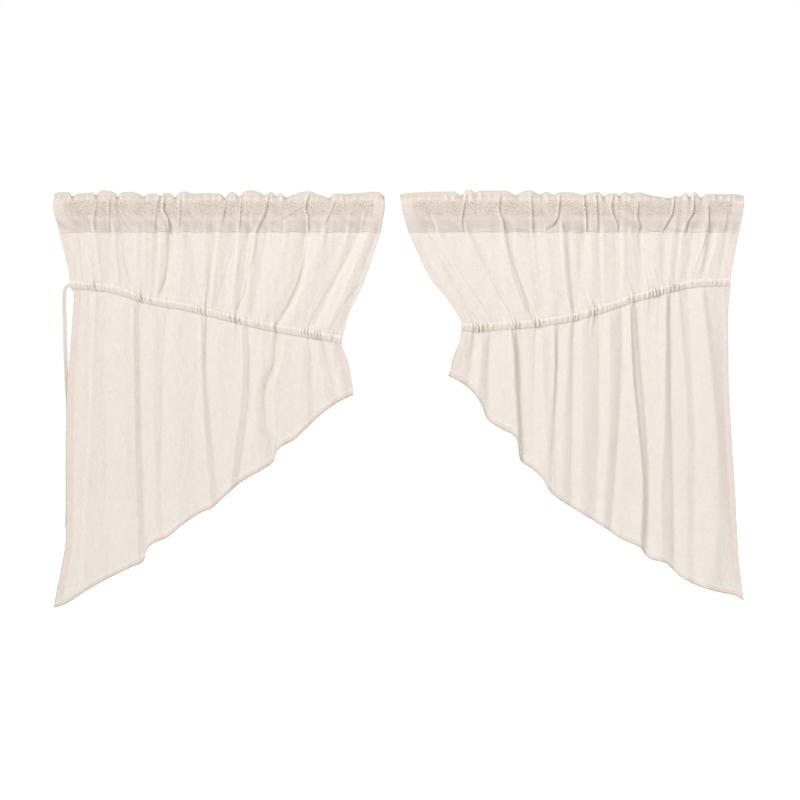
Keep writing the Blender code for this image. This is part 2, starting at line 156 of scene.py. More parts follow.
LEFT_CUT = Cut(
    side=Side.LEFT,
    edges=(
        Edge(0.00, -735, -27), Edge(0.50, -721, -68), Edge(0.80, -713, -101), Edge(1.00, -712, -112),
        Edge(1.03, -703, -113), Edge(1.10, -706, -113), Edge(1.20, -711, -109), Edge(1.30, -717, -104),
        Edge(1.50, -721, -96), Edge(1.78, -721, -91), Edge(1.87, -730, -89), Edge(1.96, -743, -88),
        Edge(2.00, -747, -87),
    ),
    heading_left=(-745, -748),
    heading_right=(-19, -18),
    casing=(
        Point(-712, -171), Point(-645, -177), Point(-619, -181), Point(-567, -198), Point(-541, -205),
        Point(-464, -219), Point(-417, -230), Point(-348, -247), Point(-294, -260), Point(-243, -270),
        Point(-165, -283), Point(-112, -292),
    ),
    hem=(
        Point(-747, -883), Point(-727, -877), Point(-677, -846), Point(-621, -815), Point(-576, -793),
        Point(-549, -779), Point(-545, -762), Point(-536, -747), Point(-497, -728), Point(-463, -700),
        Point(-424, -674), Point(-396, -661), Point(-373, -638), Point(-328, -601), Point(-284, -576),
        Point(-263, -559), Point(-258, -541), Point(-216, -511), Point(-188, -484), Point(-154, -453),
        Point(-121, -430), Point(-87, -413),
    ),
    ruffle=(
        Point(-747, 27.8), Point(-734, 31.7), Point(-714, 31.7), Point(-706, 24), Point(-695, 28.4),
        Point(-659, 30.8), Point(-653, 25.6), Point(-647, 32.2), Point(-638, 35.7), Point(-621, 33.7),
        Point(-611, 30.2), Point(-606, 21.6), Point(-601, 28.6), Point(-595, 31.7), Point(-575, 32.4),
        Point(-562, 28.9), Point(-549, 23.6), Point(-536, 28.9), Point(-522, 29.3), Point(-512, 24.5),
        Point(-501, 30.2), Point(-489, 28.9), Point(-481, 21.1), Point(-470, 30.2), Point(-459, 33.7),
        Point(-442, 28.9), Point(-415, 30), Point(-380, 28.9), Point(-370, 20.3), Point(-358, 32.6),
        Point(-348, 30.2), Point(-339, 22.7), Point(-328, 32.6), Point(-315, 35.7), Point(-297, 32.6),
        Point(-284, 26.4), Point(-269, 32.6), Point(-258, 24.5), Point(-247, 30.2), Point(-238, 22),
        Point(-218, 26.4), Point(-203, 31.7), Point(-184, 33.7), Point(-167, 27.8), Point(-150, 22.9),
        Point(-140, 19.6), Point(-134, 26.4), Point(-129, 29.3), Point(-106, 28.4), Point(-69, 30.8),
        Point(-42, 32.6), Point(-27, 30.8), Point(-20, 22.7),
    ),
    pocket_creases=(
        Crease(((-652, 29), (-651, 2), (-656, -22), (-657, -55)), 2.2, 1.2),
        Crease(((-623, 24), (-623, -11), (-625, -55)), 2.6, 1.2),
        Crease(((-514, 24), (-517, 2), (-523, -37), (-524, -55)), 2.4, 1),
        Crease(((-503, 24), (-504, -7), (-494, -29), (-492, -55)), 5, 2.4),
        Crease(((-467, 24), (-467, -11), (-471, -46)), 2.4, 1),
        Crease(((-609, 11), (-599, -20), (-577, -53)), -1.4, 0.3),
        Crease(((-363, 26), (-370, -11), (-374, -33)), 2.6, 1.2),
        Crease(((-331, 26), (-334, -11), (-338, -51)), 2.6, 1.2),
        Crease(((-272, 26), (-282, -18), (-291, -35), (-299, -55)), 3.8, 1.6),
        Crease(((-198, -2), (-238, -24), (-276, -40)), 1.6, 0.2),
        Crease(((-184, 26), (-191, -4), (-186, -24), (-186, -55)), 3.8, 1.6),
        Crease(((-128, 9), (-139, -18), (-148, -35)), 2.4, 0.8),
        Crease(((-107, 15), (-105, -15)), 1.6, 0.3), Crease(((-59, -11), (-68, -51)), 1.8, 0.5),
        Crease(((-313, 15), (-311, -11)), 1.2, 0.4), Crease(((-692, 0), (-685, -33)), -1.2, 0.3),
        Crease(((-305, -15), (-307, -46)), 1.8, 0.9), Crease(((-422, 4), (-419, -29)), 1.2, 0.3),
        Crease(((-606, 26), (-606, 9)), 1.6, 0.8), Crease(((-706, 29), (-705, 11)), 1.2, 0.5),
        Crease(((-549, 26), (-549, 11)), 1.2, 0.5), Crease(((-481, 26), (-480, 9)), 1.4, 0.6),
        Crease(((-238, 26), (-238, 9)), 1.4, 0.6), Crease(((-140, 24), (-141, 9)), 1.4, 0.6),
    ),
    upper=(
        Fold((-694, -683), -2.4, 9, 7), Fold((-659, -645), 4.8, 10, 7, 0.3),
        Fold((-632, -626), -3.2, 10, 9), Fold((-617, -604), 4.8, 9, 5, 0.3),
        Fold((-600, -580), -4, 6, 10), Fold((-568, -564), 5.6, 9, 10), Fold((-547, -546), 2.4, 8, 5, 0.3),
        Fold((-524, -529), -4, 7, 8), Fold((-510, -521), 2.4, 6, 4), Fold((-497, -500, -516), -7.2, 6, 9),
        Fold((-474, -470), 5.6, 10, 15), Fold((-450, -425), -4, 12, 10), Fold((-399, -414), -4.8, 8, 5),
        Fold((-384, -402), 6.4, 6, 10, -0.3), Fold((-356, -376), -2.4, 8, 8),
        Fold((-339, -357), 4.8, 8, 8), Fold((-320, -342), -4, 8, 6), Fold((-303, -328), 5.6, 5, 8, -0.4),
        Fold((-280, -312), -3.2, 11, 11), Fold((-232, -290), 4, 20, 22),
        Fold((-194, -207, -262), -7.2, 12, 6), Fold((-155, -232), 4.8, 14, 22),
        Fold((-110, -205), -1.6, 14, 12), Fold((-77, -187), -5.6, 12, 7), Fold((-53, -152), 4.8, 9, 14),
        Fold((-36, -122), -2.4, 8, 6),
    ),
    lower=(
        Fold((-674, -674, -676, -688, -697), -1.5, 6, 6),
        Fold((-657, -662, -669, -678, -685), 3.5, 11, 8, 0.2),
        Fold((-640, -637, -634, -631, -628), -2.5, 9, 12),
        Fold((-596, -592, -590, -588, -585), 4, 16, 14),
        Fold((-574, -572, -570, -566, -560), 2, 6, 4, 0.5),
        Fold((-561, -559, -556, -552, -547), -6, 7, 9), Fold((-535, -530, -527, -524, -520), 3, 10, 12),
        Fold((-498, -508, -512, -513, -510), -4, 9, 7), Fold((-482, -481, -480, -476, -470), 4, 13, 16),
        Fold((-434, -436, -438, -438, -438), -1.5, 9, 9),
        Fold((-425, -425, -420, -412, -402), 3.5, 10, 5, 0.5),
        Fold((-413, -413, -406, -396, -386), -4, 5, 9), Fold((-392, -385, -376, -368, -362), 2, 12, 12),
        Fold((-336, -333, -337, -350, -362), 3.5, 10, 5, 0.5),
        Fold((-322, -317, -319, -330, -342), -4.5, 5, 9),
        Fold((-292, -291, -304, -302, -288), 2.5, 11, 8),
        Fold((-258, -261, -285, -278, -259), -6.5, 7, 7),
        Fold((-240, -245, -264, -259, -244), 4, 5, 11, -0.4),
        Fold((-205, -201, -198, -196, -192), 3, 18, 14), Fold((-185, -183, -181, -178, -174), -3.5, 8, 8),
        Fold((-168, -165, -158, -150, -142), 2, 7, 5), Fold((-158, -150, -140, -131, -122), -3.5, 6, 6),
        Fold((-140, -135, -126, -117, -108), 3.5, 7, 9, -0.2),
        Fold((-124, -120, -112, -103, -96), -1.5, 5, 6),
    ),
    creases=(
        Crease(((-694, -70), (-686, -156)), 1.5, 0.5),
        Crease(((-669, -110), (-660, -150), (-660, -183)), 2, 0.8),
        Crease(((-604, -95), (-588, -143), (-576, -181)), 2.2, 0.6),
        Crease(((-568, -66), (-566, -161)), -1.8, 0.3), Crease(((-523, -59), (-523, -143)), 1.8, 0.5),
        Crease(((-496, -51), (-497, -106), (-502, -152), (-519, -192)), 4, 1.5),
        Crease(((-463, -64), (-445, -134), (-423, -211)), 1.5, 0.5),
        Crease(((-396, -55), (-405, -139), (-416, -220)), 2.6, 0.9),
        Crease(((-353, -86), (-375, -156), (-393, -223)), 1.5, 0.4),
        Crease(((-328, -66), (-344, -150), (-358, -225)), 1.6, 0.4),
        Crease(((-298, -57), (-306, -106), (-324, -170), (-346, -225)), 3, 1),
        Crease(((-273, -176), (-300, -203), (-318, -229)), 1.2, 0.4),
        Crease(((-187, -51), (-203, -141), (-228, -205), (-261, -262)), 3.8, 1.2),
        Crease(((-245, -205), (-269, -229), (-284, -253)), 1.4, 0.5),
        Crease(((-84, -75), (-139, -172), (-194, -269)), 1.8, 0.4),
        Crease(((-53, -141), (-97, -196), (-143, -273)), 2.2, 0.8),
        Crease(((-108, -216), (-123, -240), (-141, -273)), -1.6, 0.6),
    ),
    hanging_creases=(
        Crease(((-673, -163), (-673, -220), (-673, -304)), 2.6, 1),
        Crease(((-660, -170), (-660, -205)), 1.4, 0.8),
        Crease(((-560, -196), (-555, -240), (-564, -291), (-568, -465), (-571, -579)), 3.4, 1.2),
        Crease(((-552, -196), (-554, -231)), -1.6, 1),
        Crease(((-538, -205), (-541, -236), (-543, -271)), 1.5, 0.8),
        Crease(((-496, -218), (-493, -322), (-503, -465), (-509, -579)), 2.2, 0.6),
        Crease(((-439, -227), (-436, -271), (-431, -341)), -1.8, 0.6),
        Crease(((-413, -218), (-413, -282), (-416, -341), (-413, -465), (-401, -579)), 3, 1.1),
        Crease(((-352, -245), (-344, -282), (-324, -366), (-323, -465)), 2.6, 0.7),
        Crease(((-342, -247), (-339, -271)), 1.4, 0.8),
        Crease(((-307, -253), (-300, -289), (-286, -333)), 1.8, 0.6),
        Crease(((-262, -267), (-254, -308), (-256, -344), (-279, -366), (-286, -390), (-280, -465),
                (-267, -527)), 4.4, 1.4),
        Crease(((-181, -273), (-182, -319), (-185, -377)), 2, 0.8),
        Crease(((-171, -278), (-168, -319)), 1.4, 0.8),
        Crease(((-162, -278), (-156, -306), (-139, -361), (-120, -414)), 3.4, 1),
        Crease(((-137, -284), (-139, -315), (-145, -333)), -2, 1),
        Crease(((-370, -229), (-371, -253)), 1.2, 0.6), Crease(((-361, -229), (-361, -253)), 1.2, 0.6),
        Crease(((-326, -242), (-326, -267)), 1.2, 0.5), Crease(((-291, -253), (-289, -275)), 1.2, 0.7),
        Crease(((-278, -256), (-276, -275)), 1, 0.6), Crease(((-131, -273), (-132, -297)), 1.5, 0.9),
        Crease(((-511, -619), (-491, -645)), 2.6, 0.8), Crease(((-580, -231), (-580, -304)), -1.4, 0.3),
        Crease(((-712, -290), (-717, -450), (-718, -560), (-716, -720), (-724, -790), (-737, -850)), -3, 2.4),
    ),
    bunches=(
        Bunch(-668, 13, 1.2), Bunch(-553, 14, 1.4), Bunch(-421, 15, 1.2), Bunch(-350, 14, 1.2),
        Bunch(-295, 14, 0.7), Bunch(-262, 8, 1.1), Bunch(-189, 12, 0.9), Bunch(-170, 8, 1.2),
        Bunch(-137, 8, 1.3),
    ),
    hem_tint=0.85,
    upper_rise=0.7,
    lower_rise=0.8,
    seed=11,
)

RIGHT_CUT = Cut(
    side=Side.RIGHT,
    edges=(
        Edge(0.00, 34, 762), Edge(0.50, 84, 751), Edge(0.80, 133, 745), Edge(1.00, 152, 743),
        Edge(1.10, 150, 738), Edge(1.30, 147, 739), Edge(1.50, 138, 746), Edge(1.70, 131, 755),
        Edge(1.87, 127, 762), Edge(1.96, 124, 769), Edge(2.00, 121, 773),
    ),
    heading_left=(15, 19),
    heading_right=(773, 771),
    casing=(
        Point(152, -263), Point(188, -267), Point(214, -264), Point(266, -260), Point(318, -256),
        Point(344, -252), Point(397, -243), Point(447, -229), Point(493, -214), Point(519, -204),
        Point(570, -191), Point(628, -175), Point(680, -167), Point(743, -165),
    ),
    hem=(
        Point(121, -371), Point(165, -397), Point(194, -433), Point(208, -467), Point(239, -489),
        Point(272, -515), Point(275, -541), Point(281, -558), Point(306, -576), Point(328, -596),
        Point(346, -627), Point(374, -649), Point(419, -677), Point(464, -705), Point(502, -731),
        Point(545, -753), Point(565, -775), Point(599, -784), Point(634, -815), Point(672, -835),
        Point(716, -848), Point(756, -857), Point(773, -867),
    ),
    ruffle=(
        Point(14, 26.4), Point(34, 30.2), Point(134, 33.3), Point(149, 25.1), Point(159, 33.7),
        Point(169, 36.8), Point(182, 31.3), Point(193, 35), Point(249, 35), Point(260, 30),
        Point(271, 26.4), Point(284, 32.6), Point(303, 35.7), Point(315, 30.2), Point(325, 27.8),
        Point(335, 32.6), Point(345, 30), Point(355, 26.9), Point(367, 31.7), Point(384, 31.7),
        Point(405, 28.9), Point(419, 26), Point(429, 29.3), Point(451, 31.7), Point(458, 27.8),
        Point(464, 22.7), Point(469, 26.9), Point(476, 28.9), Point(491, 29.3), Point(499, 24.5),
        Point(504, 29.5), Point(510, 31.7), Point(525, 28.9), Point(542, 31.7), Point(564, 26.4),
        Point(591, 22), Point(608, 19.2), Point(620, 24), Point(632, 21.6), Point(638, 27.8),
        Point(642, 30.8), Point(648, 27.8), Point(653, 21.6), Point(659, 29.1), Point(664, 31.7),
        Point(670, 27.8), Point(676, 20.3), Point(691, 27.8), Point(755, 27.8), Point(772, 24),
    ),
    pocket_creases=(
        Crease(((75, 0), (84, -24), (95, -53)), -1.6, 0.4),
        Crease(((162, 24), (156, -7), (152, -37), (156, -55)), 3.2, 1.4),
        Crease(((191, 24), (191, -9)), 1.8, 0.8),
        Crease(((237, 24), (234, -7), (242, -31), (247, -55)), 3.8, 1.6),
        Crease(((304, 24), (307, -13), (308, -55)), 3, 1.4),
        Crease(((368, 24), (364, -18), (355, -37), (337, -48)), 4.2, 1.8),
        Crease(((372, -40), (380, -57)), 2.8, 0.8),
        Crease(((422, 24), (423, 0), (426, -22), (427, -55)), 4.2, 2.4),
        Crease(((448, 24), (450, -11), (452, -55)), 3.6, 1.8),
        Crease(((486, 24), (481, 0), (485, -18), (495, -42), (495, -55)), 4.2, 1.6),
        Crease(((540, 9), (538, -24), (544, -42), (543, -55)), 3.4, 1.3),
        Crease(((521, 2), (531, -20)), -1.4, 0.4),
        Crease(((620, 24), (615, -15), (603, -37), (595, -53)), 3.8, 1.4),
        Crease(((663, 24), (661, -9), (648, -37), (643, -55)), 4.2, 1.8),
        Crease(((671, 15), (682, -2)), -1.6, 0.6), Crease(((694, 4), (695, -55)), 3.4, 0.6),
        Crease(((736, -11), (731, -51)), 1.4, 0.4), Crease(((149, 29), (150, 11)), 1.4, 0.6),
        Crease(((271, 26), (271, 9)), 1.4, 0.6), Crease(((325, 26), (326, 9)), 1.4, 0.6),
        Crease(((464, 24), (463, 7)), 1.4, 0.6), Crease(((499, 24), (500, 9)), 1.4, 0.6),
        Crease(((653, 22), (654, 7)), 1.4, 0.6), Crease(((676, 20), (676, 7)), 1.4, 0.6),
        Crease(((564, 24), (566, 9)), 1.2, 0.4), Crease(((608, 18), (609, 4)), 1.2, 0.5),
    ),
    upper=(
        Fold((52, 168), 2.4, 8, 9), Fold((73, 189), -4.8, 9, 10), Fold((98, 205), 5.6, 9, 15),
        Fold((140, 238), -1.6, 14, 14), Fold((172, 271), -5.6, 14, 8), Fold((212, 287), 3.2, 14, 12),
        Fold((240, 262, 301), 7.2, 9, 5, 0.4), Fold((254, 277, 311), -4.8, 5, 10),
        Fold((298, 326), -4.8, 10, 6), Fold((312, 333), -4, 6, 7), Fold((337, 354), 3.2, 12, 12),
        Fold((371, 377, 390), 8, 6, 6), Fold((388, 392, 399), -3.2, 5, 8), Fold((418, 403), -7.2, 9, 7),
        Fold((435, 436), 3.2, 7, 8), Fold((450, 457), -4, 7, 5), Fold((461, 465), 5.6, 5, 8),
        Fold((491, 491), -4.8, 8, 6), Fold((507, 504), 4.8, 6, 10), Fold((542, 544), -5.6, 10, 7),
        Fold((577, 574), 4, 15, 17), Fold((600, 592), -3.2, 9, 5), Fold((617, 606), 4.8, 6, 7),
        Fold((628, 618), -2.4, 5, 5), Fold((639, 629), 4.8, 6, 7), Fold((660, 643), -4.8, 8, 8),
        Fold((684, 680, 657), 8, 8, 9), Fold((702, 678), -4.8, 6, 8), Fold((716, 692), 3.2, 6, 8),
        Fold((735, 716), -2.4, 6, 6),
    ),
    lower=(
        Fold((164, 160, 152, 148, 145), 3.2, 10, 8), Fold((177, 177, 172, 168, 165), -4.8, 6, 6),
        Fold((194, 195, 192, 188, 184), 4.8, 8, 9), Fold((211, 211, 209, 208, 206), -7.2, 7, 8),
        Fold((256, 262, 264, 268, 271), 8, 16, 5, 0.5), Fold((271, 275, 278, 282, 286), -9.6, 5, 12),
        Fold((311, 311, 309, 307, 305), -3.2, 7, 7), Fold((326, 329, 332, 333, 334), 5.6, 10, 12),
        Fold((352, 354, 352, 350, 350), 4, 7, 4, 0.3), Fold((363, 361, 355, 350, 348), -6.4, 4, 8),
        Fold((386, 383, 376, 371, 366), 3.2, 10, 8), Fold((396, 395, 394, 393, 391), -5.6, 6, 8),
        Fold((413, 415, 417, 415, 412), 4.8, 9, 14), Fold((450, 453, 452, 448, 444), -6.4, 10, 6),
        Fold((474, 476, 475, 469, 461), 6.4, 9, 12), Fold((501, 501, 497, 488, 478), -7.2, 8, 6),
        Fold((517, 521, 534, 545, 540), 9.6, 12, 5, 0.6), Fold((534, 545, 558, 562, 556), -10.4, 6, 13),
        Fold((549, 552, 560, 570, 570), 3.2, 8, 8), Fold((598, 597, 594, 587, 589), 8, 11, 8, 0.3),
        Fold((609, 611, 614, 618, 620), -7.2, 6, 9), Fold((626, 640, 648, 648, 648), 2.4, 8, 6),
        Fold((646, 656, 662, 662, 660), -4, 10, 10), Fold((674, 694, 709, 713, 690), 8.8, 20, 12, 0.2),
        Fold((722, 724, 732, 742, 752), -4, 10, 5),
    ),
    creases=(
        Crease(((73, -55), (109, -108), (134, -143), (169, -198), (197, -253)), 2.4, 1.1),
        Crease(((129, -117), (144, -143), (174, -183), (215, -247)), 2.2, 0.9),
        Crease(((169, -57), (215, -159), (265, -247)), 1.9, 0.5),
        Crease(((247, -55), (258, -108), (289, -194), (306, -249)), 3.4, 1.1),
        Crease(((311, -53), (316, -143), (326, -240)), 1.6, 0.4),
        Crease(((381, -53), (384, -117), (391, -194), (397, -231)), 3.2, 1.2),
        Crease(((352, -167), (377, -216)), 1.3, 0.4),
        Crease(((420, -55), (417, -143), (410, -229)), 2, 0.7),
        Crease(((459, -62), (462, -143), (465, -205)), 2.2, 0.7),
        Crease(((495, -57), (495, -178)), 2, 0.7),
        Crease(((539, -57), (547, -143), (547, -183)), 2.2, 0.9),
        Crease(((618, -57), (605, -154)), 1.4, 0.4),
        Crease(((640, -57), (632, -117), (625, -163)), 2.8, 1),
        Crease(((692, -57), (676, -108), (659, -156)), 4.6, 0.8),
        Crease(((712, -88), (692, -148)), 1.8, 0.3), Crease(((524, -112), (525, -183)), 1.2, 0.4),
        Crease(((229, -247), (216, -223)), 1.2, 0.6),
    ),
    hanging_creases=(
        Crease(((180, -262), (176, -289), (172, -326)), 2.6, 1.3),
        Crease(((188, -262), (189, -284), (198, -302)), 1.6, 0.9),
        Crease(((200, -260), (200, -275)), 1.2, 0.9),
        Crease(((213, -258), (211, -280), (215, -326), (217, -397), (216, -467)), 3, 1.3),
        Crease(((228, -249), (228, -273)), 1.6, 1),
        Crease(((260, -273), (267, -346), (269, -447), (276, -500), (287, -553)), 4.4, 1.3),
        Crease(((275, -240), (275, -271), (275, -297)), 2, 1.1),
        Crease(((308, -253), (315, -269)), 1.4, 0.9), Crease(((322, -249), (328, -267)), 1.6, 1),
        Crease(((326, -269), (341, -315)), 1.4, 0.4), Crease(((358, -319), (360, -372)), 2.2, 0.4),
        Crease(((362, -386), (357, -427), (352, -469), (347, -575)), 2.2, 0.8),
        Crease(((392, -253), (395, -337), (395, -421), (387, -452)), 2, 0.7),
        Crease(((433, -229), (433, -249), (432, -315)), 1.4, 0.8),
        Crease(((443, -227), (443, -245)), 1.3, 0.9),
        Crease(((453, -225), (454, -249), (456, -337), (458, -467), (449, -557)), 2.2, 0.9),
        Crease(((501, -282), (498, -363), (492, -491), (479, -676)), 2, 0.6),
        Crease(((531, -311), (530, -403), (534, -452), (553, -535), (557, -623), (553, -727)), 4.6, 1.2),
        Crease(((563, -214), (567, -231)), 1.4, 0.9),
        Crease(((575, -211), (579, -245), (581, -304)), 1.8, 0.9),
        Crease(((592, -214), (592, -315), (594, -399)), 1.4, 0.7),
        Crease(((605, -205), (602, -231), (605, -315), (605, -421)), 1.8, 0.8),
        Crease(((620, -416), (621, -513), (621, -623), (616, -727)), 3.2, 0.8),
        Crease(((634, -203), (636, -249), (641, -319)), 2.8, 0.6),
        Crease(((686, -183), (696, -271), (709, -350), (723, -467), (731, -579), (734, -679)), 3, 0.5),
        Crease(((713, -156), (713, -176)), 1.4, 0.8), Crease(((392, -231), (399, -253)), 1.2, 0.7),
        Crease(((403, -229), (408, -249)), 1.2, 0.7), Crease(((518, -205), (524, -220)), 1.3, 0.7),
        Crease(((525, -203), (531, -218)), 1.2, 0.7),
    ),
    bunches=(
        Bunch(200, 28, 1.3), Bunch(269, 14, 1.0), Bunch(318, 14, 1.3), Bunch(397, 16, 1.1),
        Bunch(443, 14, 1.4), Bunch(522, 12, 1.0), Bunch(582, 26, 1.2), Bunch(623, 12, 1.0),
        Bunch(709, 12, 0.8),
    ),
    hem_tint=0.45,
    upper_rise=0.5,
    lower_rise=0.66,
    seed=23,
)

# The tie's middle line: out of the casing's end, over in a short loop, then down behind the edge.
TIE_ROUTE = (
    (-712.6, -3.9, -173), (-715.2, -4.1, -173.2), (-718.2, -4.2, -175.2), (-720.8, -4.0, -179.5),
    (-722.6, -3.0, -187), (-724, -1.0, -200), (-725, 2.5, -220), (-724, 5.5, -250), (-723.5, 6.5, -300),
    (-722, 7.0, -350), (-720, 7.0, -395), (-718, 7.0, -430), (-717, 7.0, -495), (-717, 7.0, -560),
    (-718, 6.5, -620), (-719, 6.5, -670), (-720, 6.5, -705),
)


def linear(hex_colour: str) -> tuple[float, float, float, float]:
    """Turn an sRGB hex value such as F5EEE6 into a linear colour.

    Args:
        hex_colour: six hex digits.

    Returns:
        Red, green, blue and alpha, linear.
    """
    values = [int(hex_colour[i : i + 2], 16) / 255 for i in (0, 2, 4)]
    red, green, blue = (v / 12.92 if v <= 0.04045 else ((v + 0.055) / 1.055) ** 2.4 for v in values)
    return red, green, blue, 1.0


def curve_through(stations: Array, values: Array, at: Array) -> Array:
    """Draw a smooth line through values: cubic between stations, and never past the two nearest values.

    Args:
        stations: where the values are given, rising.
        values: the value at each station.
        at: where the line is read; past its ends it stays level.

    Returns:
        The line's values at the places asked for.
    """
    stations = np.asarray(stations, dtype=float)
    values = np.asarray(values, dtype=float)
    widths = np.diff(stations)
    steps = np.diff(values) / widths
    onward = steps[:-1] * steps[1:] > 0
    before, after = 2 * widths[1:] + widths[:-1], widths[1:] + 2 * widths[:-1]
    inner = np.zeros(len(onward))
    shares = before[onward] / steps[:-1][onward] + after[onward] / steps[1:][onward]
    inner[onward] = (before + after)[onward] / shares
    slopes = np.concatenate((steps[:1], inner, steps[-1:]))
    at = np.clip(at, stations[0], stations[-1])
    index = np.clip(np.searchsorted(stations, at, side="right") - 1, 0, len(stations) - 2)
    width = stations[index + 1] - stations[index]
    t = (at - stations[index]) / width
    start = (1 + 2 * t) * (1 - t) ** 2 * values[index] + t * (1 - t) ** 2 * width * slopes[index]
    end = t * t * (3 - 2 * t) * values[index + 1] + t * t * (t - 1) * width * slopes[index + 1]
    return start + end


def line_height(line: tuple[Point, ...], x: Array) -> Array:
    """Read the height of a table's line at x, rounded through its points."""
    return curve_through([point.x for point in line], [point.z for point in line], x)


def bell(distance: Array, left: Array | float, right: Array | float, power: float = 2.0) -> Array:
    """Give a ridge of height one whose two flanks may differ: exp(-(d / width) to the power)."""
    return np.exp(-(np.abs(distance / np.where(distance < 0, left, right)) ** power))


CREASE_ENDS = 10.0
CREASE_STEP = 1.1
CREASE_LINE = 1.3
CREASE_SETTLING = 9.0
CREASE_WIDENING = 3.0
CREASE_DROP = 0.6


def crease_depth(creases: tuple[Crease, ...], x: Array, z: Array, share: float = 1.0,
                 soften: float = 0.0) -> Array:
    """Add up the creases at places x and z.

    Each one drops across its line by -tanh(d), levels out again on both sides, and fades in and out over
    its ends.  The line itself lies deeper, as a narrow exp(-d).

    Args:
        creases: the creases.
        x: places along the rod.
        z: heights.
        share: how much of each crease's height is taken.
        soften: how much wider a crease gets with each millimetre down from its top.

    Returns:
        How far the cloth stands forward.
    """
    depth = np.zeros(np.broadcast_shapes(x.shape, z.shape))
    for crease in creases:
        places = np.array(crease.path, dtype=float)
        top, bottom = places[0, 1], places[-1, 1]
        d = x - curve_through(-places[:, 1], places[:, 0], -z)
        ends = min(CREASE_ENDS, 0.5 * (top - bottom))
        fade = smooth_step(bottom - ends, bottom + ends, z) * (1 - smooth_step(top - ends, top + ends, z))
        wider = 1.0 + soften * np.maximum(top - z, 0.0)
        settling = CREASE_SETTLING + CREASE_WIDENING * (wider - 1.0)
        step = -np.tanh(d / (CREASE_STEP * wider)) * np.exp(-np.abs(d) / settling)
        line = np.exp(-np.abs(d) / (CREASE_LINE * wider)) / wider
        depth += share * fade * (CREASE_DROP * crease.drop * step - crease.dent * line)
    return depth


def smooth_step(low: float, high: float, value: Array) -> Array:
    """Go from 0 at low to 1 at high by the cubic 3t^2 - 2t^3, flat at both ends."""
    t = np.clip((value - low) / (high - low), 0.0, 1.0)
    return t * t * (3 - 2 * t)


def along(points: Array, axis: int) -> Array:
    """Give the unit direction of a grid of points along one of its two axes."""
    step = np.gradient(points, axis=axis)
    return step / np.maximum(np.linalg.norm(step, axis=-1, keepdims=True), 1e-12)


def grid_quads(rows: int, columns: int, ring: bool = False) -> Array:
    """List the quads of a grid of vertices numbered row by row.

    Args:
        rows: vertices down the grid.
        columns: vertices across it.
        ring: True if each row closes on itself.

    Returns:
        Vertex numbers, four to a face.
    """
    row, column = np.meshgrid(np.arange(rows - 1), np.arange(columns - (not ring)), indexing="ij")
    following = (column + 1) % columns
    corners = (row * columns + column, (row + 1) * columns + column,
               (row + 1) * columns + following, row * columns + following)
    return np.stack(corners, axis=-1).reshape(-1, 4)


@dataclass
class Surface:
    """Vertices in millimetres, faces, a place on the flat cloth for each vertex, and named values."""

    points: Array
    quads: Array
    flat: Array
    values: dict[str, Array]

    def make(self, name: str) -> bpy.types.Object:
        """Put the surface in a smooth mesh at the origin.

        Args:
            name: the new piece's name.

        Returns:
            The new object, linked to the scene.
        """
        mesh = bpy.data.meshes.new(name)
        mesh.vertices.add(len(self.points))
        mesh.vertices.foreach_set("co", (self.points * MM).astype(np.float32).ravel())
        loops = self.quads.astype(np.int32).ravel()
        mesh.loops.add(len(loops))
        mesh.loops.foreach_set("vertex_index", loops)
        mesh.polygons.add(len(self.quads))
        mesh.polygons.foreach_set("loop_start", np.arange(0, len(loops), 4, dtype=np.int32))
        mesh.update(calc_edges=True)
        mesh.shade_smooth()
        layer = mesh.uv_layers.new(name="cloth")
        layer.data.foreach_set("uv", (self.flat[loops] * MM).astype(np.float32).ravel())
        for key, value in self.values.items():
            stored = mesh.attributes.new(key, "FLOAT", "POINT")
            stored.data.foreach_set("value", value.astype(np.float32).ravel())
        mesh.validate()
        piece = bpy.data.objects.new(name, mesh)
        bpy.context.scene.collection.objects.link(piece)
        return piece


def cloth_wall(middle: Array, thickness: Array, flat: Array, values: dict[str, Array]) -> Surface:
    """Give a cloth its thickness: two copies of its middle surface, half of it apart each way, and a rim.

    Args:
        middle: rows by columns of points, rows running down and columns to the right, seen from the front.
        thickness: the thickness at each point.
        flat: each point's place on the flat cloth.
        values: named values at each point.

    Returns:
        A closed surface whose faces point outwards.
    """
    rows, columns = middle.shape[:2]
    front = np.cross(along(middle, 0), along(middle, 1))
    front /= np.maximum(np.linalg.norm(front, axis=-1, keepdims=True), 1e-12)
    half = 0.5 * thickness[..., None] * front
    count = rows * columns
    numbers = np.arange(count).reshape(rows, columns)
    rim = np.concatenate((numbers[0, :], numbers[1:, -1], numbers[-1, -2::-1], numbers[-2:0:-1, 0]))
    following = np.roll(rim, -1)
    faces = grid_quads(rows, columns)
    edge = np.stack((rim, following, following + count, rim + count), axis=-1)
    return Surface(
        points=np.concatenate(((middle + half).reshape(-1, 3), (middle - half).reshape(-1, 3))),
        quads=np.concatenate((faces, faces[:, ::-1] + count, edge)),
        flat=np.concatenate((flat.reshape(-1, 2), flat.reshape(-1, 2))),
        values={key: np.concatenate((value.ravel(), value.ravel())) for key, value in values.items()},
    )


